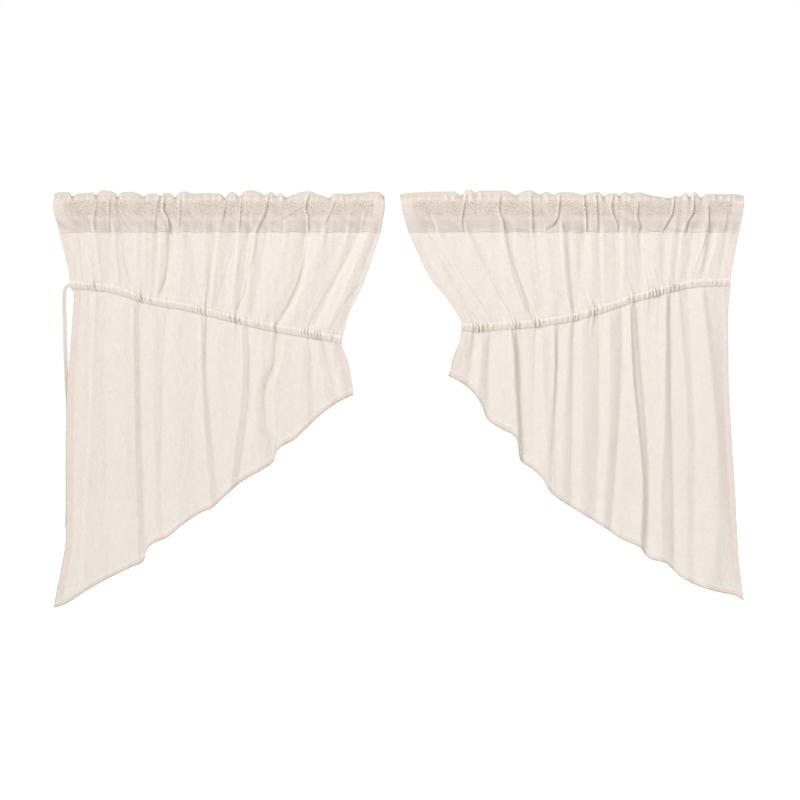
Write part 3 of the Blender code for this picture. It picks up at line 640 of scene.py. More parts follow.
@dataclass(frozen=True)
class Gathers:
    """Small seeded ridges that a drawn line of stitches or a cord makes in the cloth."""

    seed: int
    count: int
    span: float
    rise: tuple[float, float]
    half_width: tuple[float, float]
    reach: tuple[float, float]

    def depth(self, u: Array, distance: Array) -> Array:
        """Add up the ridges: each is a bell across the cloth that fades with its own reach from the line.

        Args:
            u: share of the cloth's width.
            distance: distance from the drawn line.

        Returns:
            How far the cloth stands forward, about as much as it lies back.
        """
        draw = np.random.default_rng(self.seed)
        places = (np.arange(self.count) + 0.5 + draw.uniform(-0.7, 0.7, self.count)) / self.count
        rises = self.rise[0] + (self.rise[1] - self.rise[0]) * draw.uniform(0, 1, self.count) ** 2.2
        widths = draw.uniform(*self.half_width, self.count)
        reaches = draw.uniform(*self.reach, self.count) ** 2 / self.reach[1]
        depth = np.zeros(np.broadcast_shapes(u.shape, distance.shape))
        for place, rise, width, reach in zip(places, rises, widths, reaches):
            across = (u - place) * self.span
            fade = np.exp(-distance / max(reach, 6.0))
            widened = width * (1.0 + 0.6 * (1.0 - fade))
            level = widened * np.sqrt(np.pi) / self.span
            depth += rise * fade * (bell(across, widened, widened) - level)
        return depth


@dataclass
class Drape:
    """The hanging shape of one drape: every piece of it reads its places from here."""

    cut: Cut
    stitch_line: float = 18.0
    seam_line: float = -55.0
    gap: float = 0.3
    side_hem: float = 0.027
    hem_band: float = 12.0
    ruffle_lean: float = 0.55
    ruffle_middle: float = 29.0
    pinch_least: float = 0.45
    pinch_reach: float = 20.0
    flat_width: float = 914.0
    drawn_least: float = 0.3
    lower_spread: float = 0.7
    crumple_above: float = 0.9
    crumple_below: float = 0.5
    pocket_share: float = 1.1
    panel_share: float = 0.5
    soften: float = 0.06
    seam_unevenness: float = 0.4
    corner_dip: float = 4.0
    corner_width: float = 0.03

    def __post_init__(self) -> None:
        """Set the gathers at the casing and along the pocket's two rows of stitches."""
        seed = self.cut.seed
        self.at_casing = Gathers(seed, 84, 600.0, (0.8, 3.6), (1.7, 3.4), (8.0, 46.0))
        self.at_seam = Gathers(seed + 1, 40, 710.0, (0.3, 1.6), (3.0, 6.0), (10.0, 70.0))
        self.at_top = Gathers(seed + 2, 60, 730.0, (0.4, 2.2), (2.4, 4.5), (6.0, 20.0))

    def edge_x(self, level: Array | float) -> tuple[Array, Array]:
        """Read where the panel's left and right edges are at a level."""
        levels = [row.level for row in self.cut.edges]
        left = curve_through(levels, [row.left for row in self.cut.edges], level)
        return left, curve_through(levels, [row.right for row in self.cut.edges], level)

    def across(self, u: Array, level: Array | float) -> Array:
        """Read x at the share u of the cloth's width, at a level."""
        left, right = self.edge_x(level)
        return left + (right - left) * u

    def casing_z(self, u: Array) -> Array:
        """Read the height of the casing's middle at the share u of the cloth's width."""
        return line_height(self.cut.casing, self.across(u, 1.0))

    def lengths(self, u: Array, above: Array) -> Array:
        """Measure the drop from the seam to the casing, or from the casing to the hem."""
        middle = self.casing_z(u)
        low = line_height(self.cut.hem, self.across(u, 2.0))
        return np.where(above, self.seam_line - self.gap - middle, middle - low)

    def level_of(self, u: Array, above: Array, distance: Array) -> Array:
        """Turn a distance from the casing into a level of the edges' table."""
        length = self.lengths(u, above)
        return np.where(above, 1.0 - distance / length, 1.0 + distance / length)

    def drawn(self, u: Array) -> Array:
        """Measure how tightly the casing's cord bunches the cloth at the share u of its width."""
        x = self.across(u, 1.0)
        tight = np.full_like(x, self.drawn_least)
        for bunch in self.cut.bunches:
            tight += bunch.strength * bell(x - bunch.x, bunch.half_width, bunch.half_width)
        return tight

    def folds(self, rows: tuple[Fold, ...], scale: float, spread: float, x: Array,
              share: Array) -> tuple[Array, Array]:
        """Add up a tier's folds.

        Args:
            rows: the folds.
            scale: how much of each fold's rise is taken.
            spread: how much wider the folds are at the foot of the tier than at its top.
            x: where the folds are read.
            share: how far down the tier, from 0 to 1.

        Returns:
            How far the cloth stands forward, and how far it is drawn sideways.
        """
        depth = np.zeros_like(x)
        sideways = np.zeros_like(x)
        for fold in rows:
            middle = curve_through(np.linspace(0, 1, len(fold.path)), fold.path, share)
            wider = 1.0 + spread * share
            height = scale * fold.rise * bell((x - middle) / wider, fold.left, fold.right, 1.6)
            depth += height
            sideways += fold.lean * height
        return depth, sideways

    def upper_folds(self, x: Array, share: Array) -> tuple[Array, Array]:
        """Add up the folds between the pocket's seam and the casing."""
        return self.folds(self.cut.upper, self.cut.upper_rise, 0.0, x, share)

    def lower_folds(self, x: Array, share: Array) -> tuple[Array, Array]:
        """Add up the folds between the casing and the hem, which widen on their way down."""
        return self.folds(self.cut.lower, self.cut.lower_rise, self.lower_spread, x, share)

    def crumple(self, x: Array, z: Array) -> Array:
        """Add slight waves of many widths, mostly upright, so that no stretch of cloth is quite smooth."""
        draw = np.random.default_rng(self.cut.seed + 5)
        depth = np.zeros_like(x)
        for _ in range(14):
            wide = 2 * np.pi / draw.uniform(16.0, 70.0)
            tall = 2 * np.pi / draw.uniform(60.0, 400.0) * draw.choice((-1.0, 1.0))
            depth += draw.uniform(0.08, 0.22) * np.sin(wide * x + tall * z + draw.uniform(0, 6.28))
        return depth

    def hanging(self, u: Array, above: Array, distance: Array) -> Array:
        """Place the panel's middle surface.

        The folds of the tier come in with distance from the casing, and the casing's and the seam's
        gathers fade with distance from their own lines.

        Args:
            u: share of the cloth's width, from the left.
            above: True above the casing.
            distance: distance from the casing along Z.

        Returns:
            Points, in millimetres.
        """
        u, above, distance = np.broadcast_arrays(u, above, distance)
        length = self.lengths(u, above)
        middle = self.casing_z(u)
        level = self.level_of(u, above, distance)
        x = self.across(u, level)
        z = np.where(above, middle + distance, middle - distance)
        upper = self.upper_folds(x, np.clip(level, 0, 1))
        lower = self.lower_folds(x, np.clip(level - 1, 0, 1))
        at_line = 0.5 * (self.upper_folds(x, np.ones_like(x))[0] + self.lower_folds(x, np.zeros_like(x))[0])
        near = bell(distance, self.pinch_reach, self.pinch_reach)
        forward = self.pinch_least * at_line * near + np.where(above, upper[0], lower[0]) * (1 - near)
        forward += self.at_casing.depth(u, distance) * self.drawn(u)
        from_seam = np.where(above, length - distance, FAR)
        forward += self.at_seam.depth(u, from_seam) * (1 - near)
        crumpled = np.where(above, self.crumple_above, self.crumple_below)
        forward += self.crumple(x, z) * (1 - near) * crumpled
        forward += self.creased(x, z)
        x = x + np.where(above, upper[1], lower[1]) * (1 - near)
        return np.stack((x, -forward, z), axis=-1)

    def creased(self, x: Array, z: Array) -> Array:
        """Measure how far forward the creases of the pocket and the panel bring the cloth."""
        cut = self.cut
        return (crease_depth(cut.pocket_creases, x, z, self.pocket_share)
                + crease_depth(cut.creases, x, z, self.panel_share)
                + crease_depth(cut.hanging_creases, x, z, self.panel_share, self.soften))

    def seam_wave(self, u: Array) -> Array:
        """Give the slight unevenness in height of the pocket's lower edge, which dips at the outer corner."""
        draw = np.random.default_rng(self.cut.seed + 7)
        wave = np.zeros_like(u)
        for _ in range(5):
            ripple = np.sin(2 * np.pi * u * draw.uniform(9.0, 22.0) + draw.uniform(0, 6.28))
            wave += self.seam_unevenness * ripple
        outer = u if self.cut.side is Side.LEFT else 1.0 - u
        return wave - self.corner_dip * np.exp(-outer / self.corner_width)

    def seam_shift(self, u: Array) -> Array:
        """Measure how far back the folds bring the cloth along the pocket's seam, creases left out."""
        above = np.ones_like(u, dtype=bool)
        points = self.hanging(u, above, self.lengths(u, above))
        return points[..., 1] + self.creased(points[..., 0], points[..., 2])


def folded_shade(points: Array, reach: int = 5) -> Array:
    """Measure how much painted shade or painted highlight each point gets for its place in the folds.

    A slanting cloth is painted darker, partly for the denser yarn it shows to the light behind it and
    partly as painted shade; a narrow trough between others is painted darker as shade and a narrow crest
    lighter as a painted highlight: 0.8 (1 - |n.y|) for a unit normal n, and the depth below the mean of
    the neighbours, 1.5 mm counting as 0.8.

    Args:
        points: rows by columns of points.
        reach: how many columns to each side count as neighbours.

    Returns:
        From -1 on a sharp crest through 0 on flat cloth to 1 in a deep, steep crease.
    """
    facing = np.cross(along(points, 0), along(points, 1))
    facing /= np.maximum(np.linalg.norm(facing, axis=-1, keepdims=True), 1e-12)
    steep = 0.8 * (1.0 - np.abs(facing[..., 1]))
    y = points[..., 1] * np.where(points[..., 1].mean(axis=1, keepdims=True) > 3.0, -1.0, 1.0)
    padded = np.pad(y, ((0, 0), (reach, reach)), mode="edge")
    total = np.cumsum(np.pad(padded, ((0, 0), (1, 0))), axis=1)
    mean = (total[:, 2 * reach + 1 :] - total[:, : -2 * reach - 1]) / (2 * reach + 1)
    hollow = (y - mean) / 1.5
    return np.clip(steep + 0.8 * hollow * smooth_step(0.02, 0.12, np.abs(hollow)), -1.0, 1.0)


def add_node(tree: bpy.types.NodeTree, kind: str, inputs: dict | None = None, **settings) -> bpy.types.Node:
    """Add a shader node with its settings, values and links.

    Args:
        tree: the material's node tree.
        kind: the node's type, such as ShaderNodeTexNoise.
        inputs: for each input by name or number, a value or an output socket that is linked to it.
        **settings: the node's own properties.

    Returns:
        The new node.
    """
    node = tree.nodes.new(kind)
    for key, value in settings.items():
        setattr(node, key, value)
    for key, value in (inputs or {}).items():
        if isinstance(value, bpy.types.NodeSocket):
            tree.links.new(value, node.inputs[key])
        else:
            node.inputs[key].default_value = value
    return node


@dataclass(frozen=True)
class PlainWeaveCotton:
    """Washed plain-weave cotton with slubs, semi-sheer: a matt, slightly mottled cloth.

    Thick and thin yarns run both ways.  One layer lets some light through, two hide more and look
    darker and warmer.  Troughs and creases are painted darker as painted shade, crests lighter as a
    painted highlight, and the shade of the rod in the pocket is painted in as dark flecks.
    """

    name: str
    single: str = "F2EAE1"
    doubled: str = "E9DACF"
    # trough is the colour of the painted shade in troughs and creases, crest that of the painted highlight on
    # crests, and the next one that of the painted shade of the rod seen through the pocket.
    trough: str = "B7A593"
    crest: str = "FFFCF7"
    painted_rod_shade: str = "8C7A69"
    single_alpha: float = 0.80
    doubled_alpha: float = 0.93
    yarn_pitch_mm: float = 1.3
    slub_length_mm: float = 22.0
    slub_width_mm: float = 1.7
    slub_strength: float = 0.20
    mottle_mm: float = 3.6
    rod_shade_fleck_mm: float = 3.2
    patch_mm: float = 25.0
    painted_shade_share: float = 0.6
    painted_highlight_share: float = 0.75
    alpha_play: float = 0.08
    bump_strength: float = 0.35
    bump_distance: float = 0.0004
    roughness: float = 0.9
    sheen: float = 0.12
    sheen_roughness: float = 0.5
    specular: float = 0.25

    def dress(self, piece: bpy.types.Object) -> None:
        """Build the material and give it to a piece.

        The yarns' real pitch of about 0.5 mm would not show at this distance, so it is drawn coarser.

        Args:
            piece: a piece with the UV map in metres and the values layers, trough and speckle.
        """
        material = bpy.data.materials.new(self.name)
        material.use_nodes = True
        tree = material.node_tree
        shader = tree.nodes["Principled BSDF"]
        cloth = add_node(tree, "ShaderNodeUVMap", uv_map="cloth").outputs["UV"]
        slubs = [self.slub(tree, cloth, turn) for turn in (False, True)]
        both = add_node(tree, "ShaderNodeMath", {0: slubs[0], 1: slubs[1]}, operation="ADD").outputs[0]
        mottle = add_node(tree, "ShaderNodeTexNoise", {
            "Vector": cloth, "Scale": 1000.0 / self.mottle_mm, "Detail": 3.0, "Roughness": 0.6,
        }).outputs["Fac"]
        texture = add_node(tree, "ShaderNodeMath", {0: both, 1: mottle}, operation="ADD").outputs[0]
        tone = add_node(tree, "ShaderNodeMapRange", {
            "Value": texture, "From Min": 1.0, "From Max": 2.0,
            "To Min": 1.0 - self.slub_strength, "To Max": 1.0 + self.slub_strength * 0.6,
        }).outputs["Result"]
        layers = add_node(tree, "ShaderNodeAttribute", attribute_name="layers").outputs["Fac"]
        trough = add_node(tree, "ShaderNodeAttribute", attribute_name="trough").outputs["Fac"]
        base = self.blend(tree, layers, linear(self.single), linear(self.doubled))
        # Painted shade and painted highlight: trough above 0 darkens the colour towards the trough colour,
        # below 0 it lightens it towards the crest colour.
        painted_trough_shade = self.clamped(tree, "MULTIPLY", trough, self.painted_shade_share)
        shaded = self.blend(tree, painted_trough_shade, base, linear(self.trough))
        painted_crest_highlight = self.clamped(tree, "MULTIPLY", trough, -self.painted_highlight_share)
        shaded = self.blend(tree, painted_crest_highlight, shaded, linear(self.crest))
        # Painted shade of the rod, which is not built, seen through the pocket's cloth as dark flecks.
        shaded = self.blend(tree, self.painted_rod_shade_flecks(tree, cloth), shaded, linear(self.painted_rod_shade))
        coloured = add_node(tree, "ShaderNodeVectorMath", {0: shaded, "Scale": tone}, operation="SCALE")
        tree.links.new(coloured.outputs["Vector"], shader.inputs["Base Color"])
        open_weave = add_node(tree, "ShaderNodeMapRange", {
            "Value": layers, "To Min": self.single_alpha, "To Max": self.doubled_alpha,
        }).outputs["Result"]
        yarn = add_node(tree, "ShaderNodeMapRange", {
            "Value": texture, "From Min": 1.0, "From Max": 2.0,
            "To Min": self.alpha_play, "To Max": -self.alpha_play,
        }).outputs["Result"]
        tree.links.new(self.clamped(tree, "ADD", open_weave, yarn), shader.inputs["Alpha"])
        weave = self.weave(tree, cloth)
        relief = add_node(tree, "ShaderNodeMath", {0: weave, 1: both}, operation="ADD").outputs[0]
        bump = add_node(tree, "ShaderNodeBump", {
            "Height": relief, "Strength": self.bump_strength, "Distance": self.bump_distance,
        })
        tree.links.new(bump.outputs["Normal"], shader.inputs["Normal"])
        shader.inputs["Roughness"].default_value = self.roughness
        shader.inputs["Sheen Weight"].default_value = self.sheen
        shader.inputs["Sheen Roughness"].default_value = self.sheen_roughness
        shader.inputs["Specular IOR Level"].default_value = self.specular
        piece.data.materials.clear()
        piece.data.materials.append(material)

    def slub(self, tree: bpy.types.NodeTree, cloth: bpy.types.NodeSocket, turn: bool) -> bpy.types.NodeSocket:
        """Draw thick and thin yarns as noise stretched along the warp, or along the weft."""
        long_way, short_way = 1000.0 / self.slub_length_mm, 1000.0 / self.slub_width_mm
        scale = (long_way, short_way, 1.0) if turn else (short_way, long_way, 1.0)
        place = add_node(tree, "ShaderNodeMapping", {"Vector": cloth, "Scale": scale}).outputs["Vector"]
        noise = add_node(tree, "ShaderNodeTexNoise", {
            "Vector": place, "Scale": 1.0, "Detail": 2.0, "Roughness": 0.55,
        })
        return noise.outputs["Fac"]

    def painted_rod_shade_flecks(self, tree: bpy.types.NodeTree, cloth: bpy.types.NodeSocket) -> bpy.types.NodeSocket:
        """Scatter small dark flecks of painted shade, for the rod seen through the pocket, where the
        attribute for the rod's painted shade asks for them.
        """
        wanted = add_node(tree, "ShaderNodeAttribute", attribute_name="painted_rod_shade").outputs["Fac"]
        noise = add_node(tree, "ShaderNodeTexNoise", {
            "Vector": cloth, "Scale": 1000.0 / self.rod_shade_fleck_mm, "Detail": 2.0, "Roughness": 0.7,
        }).outputs["Fac"]
        patches = add_node(tree, "ShaderNodeTexNoise", {
            "Vector": cloth, "Scale": 1000.0 / self.patch_mm, "Detail": 1.0,
        }).outputs["Fac"]
        most = add_node(tree, "ShaderNodeMapRange", {
            "Value": patches, "From Min": 0.35, "From Max": 0.65, "To Min": 0.4, "To Max": 1.0,
        }).outputs["Result"]
        spots = add_node(tree, "ShaderNodeMapRange", {
            "Value": noise, "From Min": 0.46, "From Max": 0.72, "To Min": 0.0, "To Max": most,
        }).outputs["Result"]
        return add_node(tree, "ShaderNodeMath", {0: spots, 1: wanted}, operation="MULTIPLY").outputs[0]

    def weave(self, tree: bpy.types.NodeTree, cloth: bpy.types.NodeSocket) -> bpy.types.NodeSocket:
        """Draw the yarns passing over and under: two crossed waves, multiplied."""
        waves = []
        for direction in ("X", "Y"):
            waves.append(add_node(tree, "ShaderNodeTexWave", {
                "Vector": cloth, "Scale": 1000.0 / self.yarn_pitch_mm / 20.0, "Distortion": 0.6,
            }, wave_type="BANDS", bands_direction=direction).outputs["Fac"])
        return add_node(tree, "ShaderNodeMath", {0: waves[0], 1: waves[1]}, operation="MULTIPLY").outputs[0]

    @staticmethod
    def clamped(tree: bpy.types.NodeTree, operation: str, a, b) -> bpy.types.NodeSocket:
        """Work out a sum or a product of two values or sockets, kept between 0 and 1."""
        return add_node(tree, "ShaderNodeMath", {0: a, 1: b}, operation=operation, use_clamp=True).outputs[0]

    @staticmethod
    def blend(tree: bpy.types.NodeTree, factor: bpy.types.NodeSocket, a, b) -> bpy.types.NodeSocket:
        """Mix two colours, each a value or a socket, by a factor."""
        mix = add_node(tree, "ShaderNodeMix", {"Factor": factor}, data_type="RGBA")
        for number, value in ((6, a), (7, b)):
            if isinstance(value, bpy.types.NodeSocket):
                tree.links.new(value, mix.inputs[number])
            else:
                mix.inputs[number].default_value = value
        return mix.outputs[2]


@dataclass
class Panel:
    """The hanging cloth from the pocket's seam to the slanting hem."""

    drape: Drape
    columns: int = 590
    near_casing: float = 38.0
    thickness: float = 0.5
    hem_thickness: float = 0.5
    tuck: float = 4.5
    band: float = 15.4
    stitch_row: float = 13.6
    side_layers: tuple[float, float] = (0.35, 0.65)
    turned_layers: tuple[float, float] = (0.5, 0.8)
    shade_share: float = 0.65
    flat_start: float = 240.0

    def columns_across(self) -> Array:
        """Space the columns evenly, with a few more where each side hem ends."""
        hem = self.drape.side_hem
        marks = np.array([hem - 0.0012, hem + 0.0012])
        even = np.linspace(0.0, 1.0, self.columns - 2 * len(marks))
        return np.unique(np.concatenate((even, marks, 1.0 - marks)))

    def frayed(self, u: Array) -> Array:
        """Give the small unevenness of the hem's sewn edge."""
        draw = np.random.default_rng(self.drape.cut.seed + 8)
        waves = [np.sin(2 * np.pi * u * draw.uniform(60, 200) + draw.uniform(0, 6.28)) for _ in range(5)]
        return 0.35 * np.sum(waves, axis=0)

    def rows_down(self) -> tuple[Array, Array, Array]:
        """Space the rows: closer near the casing and where the hem's fold ends.

        Returns:
            For each row, whether it is above the casing, a fixed distance from it, and the share of
            what is left of the drop beyond the fixed parts.
        """
        near = np.array([0.0, 4, 8, 12, 17, 23, 30, self.near_casing])
        upper = np.concatenate(([1.0], np.linspace(1.0, 0.0, 16)[:-1]))
        lower = np.linspace(0.0, 1.0, 46)[1:]
        band = self.band - np.array([self.stitch_row, 12.2, 10.8, 5.0, 0.5, 0.0])
        below = len(near) - 1 + len(lower) + len(band)
        above = np.concatenate((np.ones(len(upper) + len(near)), np.zeros(below)))
        fixed = np.concatenate((np.full(len(upper), self.near_casing), near[::-1], near[1:],
                                np.full(len(lower), self.near_casing), self.near_casing + band))
        share = np.concatenate((upper, np.zeros(2 * len(near) - 1), lower, np.ones(len(band))))
        return above.astype(bool), fixed, share

    def build(self) -> bpy.types.Object:
        """Lay the grid on the hanging shape, thicken it at its hems and make the mesh."""
        u, (above, fixed, share) = self.columns_across(), self.rows_down()
        u, above = np.meshgrid(u, above)
        fixed, share = fixed[:, None], share[:, None]
        length = self.drape.lengths(u, above)
        spare = length - self.near_casing - np.where(above, 0.0, self.band)
        distance = fixed + share * spare
        distance[-1] = length[-1] - self.frayed(u[-1])
        distance[0] += self.tuck
        points = self.drape.hanging(u, above, distance)
        from_hem = np.where(above, FAR, length - distance)
        hem = 1.0 - smooth_step(self.drape.hem_band - 0.6, self.drape.hem_band + 0.6, from_hem)
        from_side = np.minimum(u, 1.0 - u)
        side = 1.0 - smooth_step(self.drape.side_hem - 0.001, self.drape.side_hem + 0.001, from_side)
        turned = 1.0 - smooth_step(0.004, 0.006, from_side)
        layers = np.maximum(self.drape.cut.hem_tint * hem, np.where(above, *self.side_layers) * side)
        layers = np.maximum(layers, np.where(above, *self.turned_layers) * turned)
        # Painted shade along the hem's folded bottom edge, and a painted highlight along the row of stitches
        # above it.
        stitched = 1.2 * bell(from_hem, 2.6, 2.6) - 0.5 * bell(from_hem - self.stitch_row, 1.0, 1.6)
        # Painted shade: a dark line along the left edge of the lower tier, where the turned-back side hem
        # lies in shade.
        low_edge = smooth_step(1.3, 1.7, self.drape.level_of(u, above, distance))
        painted_edge_shade = low_edge * 0.9 * bell(from_side, 0.003, 0.003) * (u < 0.5)
        # trough: the painted shade and painted highlight of the folds, the hem and the left edge.
        trough = np.clip(self.shade_share * folded_shade(points) + stitched + painted_edge_shade, -1, 1)
        down = np.where(above, -distance, distance) + self.flat_start
        flat = np.stack((u * self.drape.flat_width, down), axis=-1)
        wall = cloth_wall(points, self.thickness + self.hem_thickness * layers, flat,
                          {"layers": layers, "trough": trough, "painted_rod_shade": 0 * layers})
        piece = wall.make(f"sheer_panel_{self.drape.cut.side.value}")
        PlainWeaveCotton(f"sheer plain-weave cotton {self.drape.cut.side.value}").dress(piece)
        return piece


@dataclass
class Heading:
    """The ruffle and rod pocket: one cloth folded over at the top, with a front and a back wall."""

    drape: Drape
    columns: int = 560
    thickness: float = 0.5
    root_forward: float = 3.5
    back_shift: float = 14.0
    slack_depth: float = 1.7
    rod_zone: tuple[float, float] = (-27.0, -13.0)
    shade_share: float = 0.75
    flat_run: float = 75.0
    wall_heights: tuple[float, ...] = (-55.0, -49.0, -40.0, -28.0, -4.0, 8.0, 14.0, 18.0, 26.0, 36.0)
    wall_offsets: tuple[float, ...] = (0.53, 1.8, 4.4, 8.2, 10.5, 9.0, 5.0, 0.9, 1.8, 1.0)
    shared: tuple[float, ...] = (1.0, 0.9, 0.6, 0.25, 0.0, 0.0, 0.5, 1.0, 1.0, 1.0)

    def wall(self, u: Array, height: Array, side: float) -> Array:
        """Place one wall of the pocket and of the ruffle above it.

        Where the walls are sewn together they share the front's creases, and between the seams each
        has its own.

        Args:
            u: share of the cloth's width.
            height: from -1 at the seam through 0 at the stitch line to 1 at the ruffle's top.
            side: -1 for the front wall, 1 for the back wall and 0 for the fold at the top.

        Returns:
            Points, in millimetres.
        """
        cut, drape = self.drape.cut, self.drape
        x_top = cut.heading_left[0] + (cut.heading_right[0] - cut.heading_left[0]) * u
        top = line_height(cut.ruffle, x_top)
        low = drape.seam_line + drape.seam_wave(u)
        z = np.where(height < 0, drape.stitch_line + height * (drape.stitch_line - low),
                     drape.stitch_line + height * (top - drape.stitch_line))
        places = (drape.seam_line, 0.0, drape.ruffle_middle)
        seam_left, seam_right = drape.edge_x(0.0)
        left = np.interp(z, places, (float(seam_left), cut.heading_left[1], cut.heading_left[0]))
        right = np.interp(z, places, (float(seam_right), cut.heading_right[1], cut.heading_right[0]))
        x = left + (right - left) * u
        down = np.clip(-height, 0, 1)
        lean = -drape.ruffle_lean * (top - drape.ruffle_middle)
        small = -drape.at_top.depth(u, np.abs(z - drape.stitch_line))
        shift = drape.seam_shift(u) * down + (lean + small) * (1 - down)
        slack = self.slack_depth * smooth_step(-8.0, -24.0, z) * smooth_step(-55.0, -46.0, z)
        front = -drape.creased(x, z) - slack * drape.crumple(0.5 * x + 0.6 * z, z - 0.3 * x)
        back = 0.7 * crease_depth(cut.pocket_creases, x - self.back_shift, z)
        share = np.interp(z, self.wall_heights, self.shared)
        own = front if side <= 0 else back
        offset = curve_through(self.wall_heights, self.wall_offsets, z)
        centre = -self.root_forward * smooth_step(-5.0, 16.0, z)
        y = centre + side * offset + (0.35 + 0.65 * share) * shift + share * front + (1 - share) * own
        return np.stack((x, y, z), axis=-1)

    def build(self) -> bpy.types.Object:
        """Join the front wall, the fold at the top and the back wall into one cloth."""
        drape = self.drape
        u = np.linspace(0, 1, self.columns)[None, :]
        pocket = -np.insert(np.linspace(1, 0, 25)[:-1], 1, 0.994)
        ruffle = np.append(np.linspace(0, 0.85, 9), 0.95)
        heights = np.concatenate((pocket, ruffle))[:, None]
        front = self.wall(u, heights, -1.0)
        back = self.wall(u, heights, 1.0)
        crown = self.wall(u, np.ones((1, 1)), 0.0)
        points = np.concatenate((back, crown, front[::-1]))
        run = np.concatenate((heights[:, 0], [1.0], 2.0 - heights[::-1, 0]))
        z = points[..., 2]
        edge = np.minimum(u, 1 - u) + 0 * z
        inside = smooth_step(0.031, 0.035, edge)
        pocket_zone = 1 - smooth_step(12.0, 17.0, z)
        # Painted shade of the rod, which is not built, inside the pocket: a band from about -20 mm to 14 mm
        # in height, away from the pocket's ends.
        painted_rod_shade = inside * pocket_zone * smooth_step(*self.rod_zone, z)
        # The doubled tone, 0.45 away from the pocket's ends, takes 0.65 of the rod's painted shade on top, so
        # that band is darker still.
        layers = np.where(pocket_zone > 0.5, 0.45 * inside + 0.65 * painted_rod_shade, 0.45)
        flat = np.stack((u * drape.flat_width + 0 * z, run[:, None] * self.flat_run + 0 * z), axis=-1)
        crown_z = points[heights.size : heights.size + 1, :, 2]
        # Painted shade along the fold at the ruffle's top, and a painted highlight just above the stitch
        # line.
        rim = 0.55 * bell(z - crown_z, 2.2, 2.2) - 0.25 * bell(z - drape.stitch_line - 2.0, 1.6, 2.4)
        trough = np.clip(self.shade_share * folded_shade(points) + rim, -1, 1)
        values = {"layers": layers, "trough": trough, "painted_rod_shade": painted_rod_shade}
        wall = cloth_wall(points, np.full(z.shape, self.thickness), flat, values)
        piece = wall.make(f"ruffled_heading_{drape.cut.side.value}")
        cotton = PlainWeaveCotton(f"doubled plain-weave cotton {drape.cut.side.value}", single="EDE0D6",
                                  doubled="E0D5CA", single_alpha=0.88, doubled_alpha=0.96)
        cotton.dress(piece)
        return piece


@dataclass
class Casing:
    """The ruched strip over the draw cord: a hollow, flat oval tube of cloth with puckers."""

    drape: Drape
    stations: int = 700
    around: int = 24
    half_height: float = 9.2
    half_depth: float = 1.2
    wall: float = 0.5
    panel_half: float = 0.5
    ruche_least: float = 0.16
    ruche_drawn: float = 0.86
    hollow_depth: float = 2.2
    flat_length: float = 900.0
    flat_around: float = 5.0

    def build(self) -> bpy.types.Object:
        """Sweep the oval along the casing's line, with its own puckers on its front and its edges."""
        drape, seed = self.drape, self.drape.cut.seed
        u = np.linspace(0.0, 1.0, self.stations)[:, None]
        angle = np.linspace(0, 2 * np.pi, self.around, endpoint=False)[None, :]
        still = 0 * (u + angle)
        up, out = np.sin(angle), np.maximum(np.cos(angle), 0.0)
        drawn = drape.drawn(u + still)
        ragged = Gathers(seed + 6, 90, 600.0, (0.4, 2.4), (1.6, 3.6), NO_FADE).depth(u + still, still)
        reach = np.abs((self.half_height + ragged * drawn * (up > 0) + 0.5 * ragged * drawn * (up < 0)) * up)
        base = drape.hanging(u + still, up + still >= 0, reach)
        slant = u + 0.003 * up
        ruches = Gathers(seed + 3, 96, 600.0, (0.2, 3.0), (1.2, 2.6), NO_FADE).depth(slant, still)
        ruches += Gathers(seed + 4, 170, 600.0, (0.0, 0.7), (0.8, 1.5), NO_FADE).depth(u - 0.002 * up, still)
        round_front = out ** np.where(up > 0, 1.0, 1.1)
        y = base[..., 1] - self.panel_half - self.half_depth * 2 * round_front
        y = y - ruches * (self.ruche_least + self.ruche_drawn * drawn**2) * out ** 0.4
        x, z = base[..., 0], base[..., 2]
        surface = self.tube(np.stack((x, y, z), axis=-1), u, angle)
        piece = surface.make(f"ruched_casing_{self.drape.cut.side.value}")
        # The casing's painted shade colour is darker than the panel's.
        PlainWeaveCotton(f"ruched plain-weave cotton {self.drape.cut.side.value}",
                         trough="AE9B87", single_alpha=0.93, doubled_alpha=0.97).dress(piece)
        return piece

    def tube(self, points: Array, u: Array, angle: Array) -> Surface:
        """Close the outer wall of the tube with an inner wall and a rim at each end.

        Args:
            points: stations by places around, the outer wall.
            u: share of the length at each station.
            angle: the angle at each place around.

        Returns:
            A closed surface whose faces point outwards.
        """
        stations, around = points.shape[:2]
        out = points - points.mean(axis=1, keepdims=True)
        inner = points - self.wall * out / np.linalg.norm(out, axis=-1, keepdims=True)
        count = stations * around
        outer_faces = grid_quads(stations, around, ring=True)
        ring = np.arange(around)
        following = (ring + 1) % around
        last = (stations - 1) * around
        start = np.stack((ring, following, following + count, ring + count), axis=-1)
        end = last + np.stack((following, ring, ring + count, following + count), axis=-1)
        y = points[..., 1]
        # Painted shade in the puckers' hollows, and a weaker painted highlight on their raised parts.
        sunk = (y - 0.5 * (np.roll(y, 4, axis=0) + np.roll(y, -4, axis=0))) / self.hollow_depth
        deep = np.where(sunk > 0, sunk, 0.35 * sunk)
        # Painted highlight along the tube's upper side, where light from above falls, over a slightly darker
        # tone all round.
        low = 0.2 - 0.35 * bell(np.sin(angle) - 0.7, 0.35, 0.35)
        flat = np.stack((u * self.flat_length + 0 * angle, angle * self.flat_around + 0 * u), axis=-1)
        return Surface(
            points=np.concatenate((points.reshape(-1, 3), inner.reshape(-1, 3))),
            quads=np.concatenate((outer_faces, outer_faces[:, ::-1] + count, start, end)),
            flat=np.concatenate((flat.reshape(-1, 2), flat.reshape(-1, 2))),
            values={
                "layers": np.full(2 * count, 0.3),
                "trough": np.tile(np.clip(deep + low, -1, 1).ravel(), 2),
                "painted_rod_shade": np.zeros(2 * count),
            },
        )


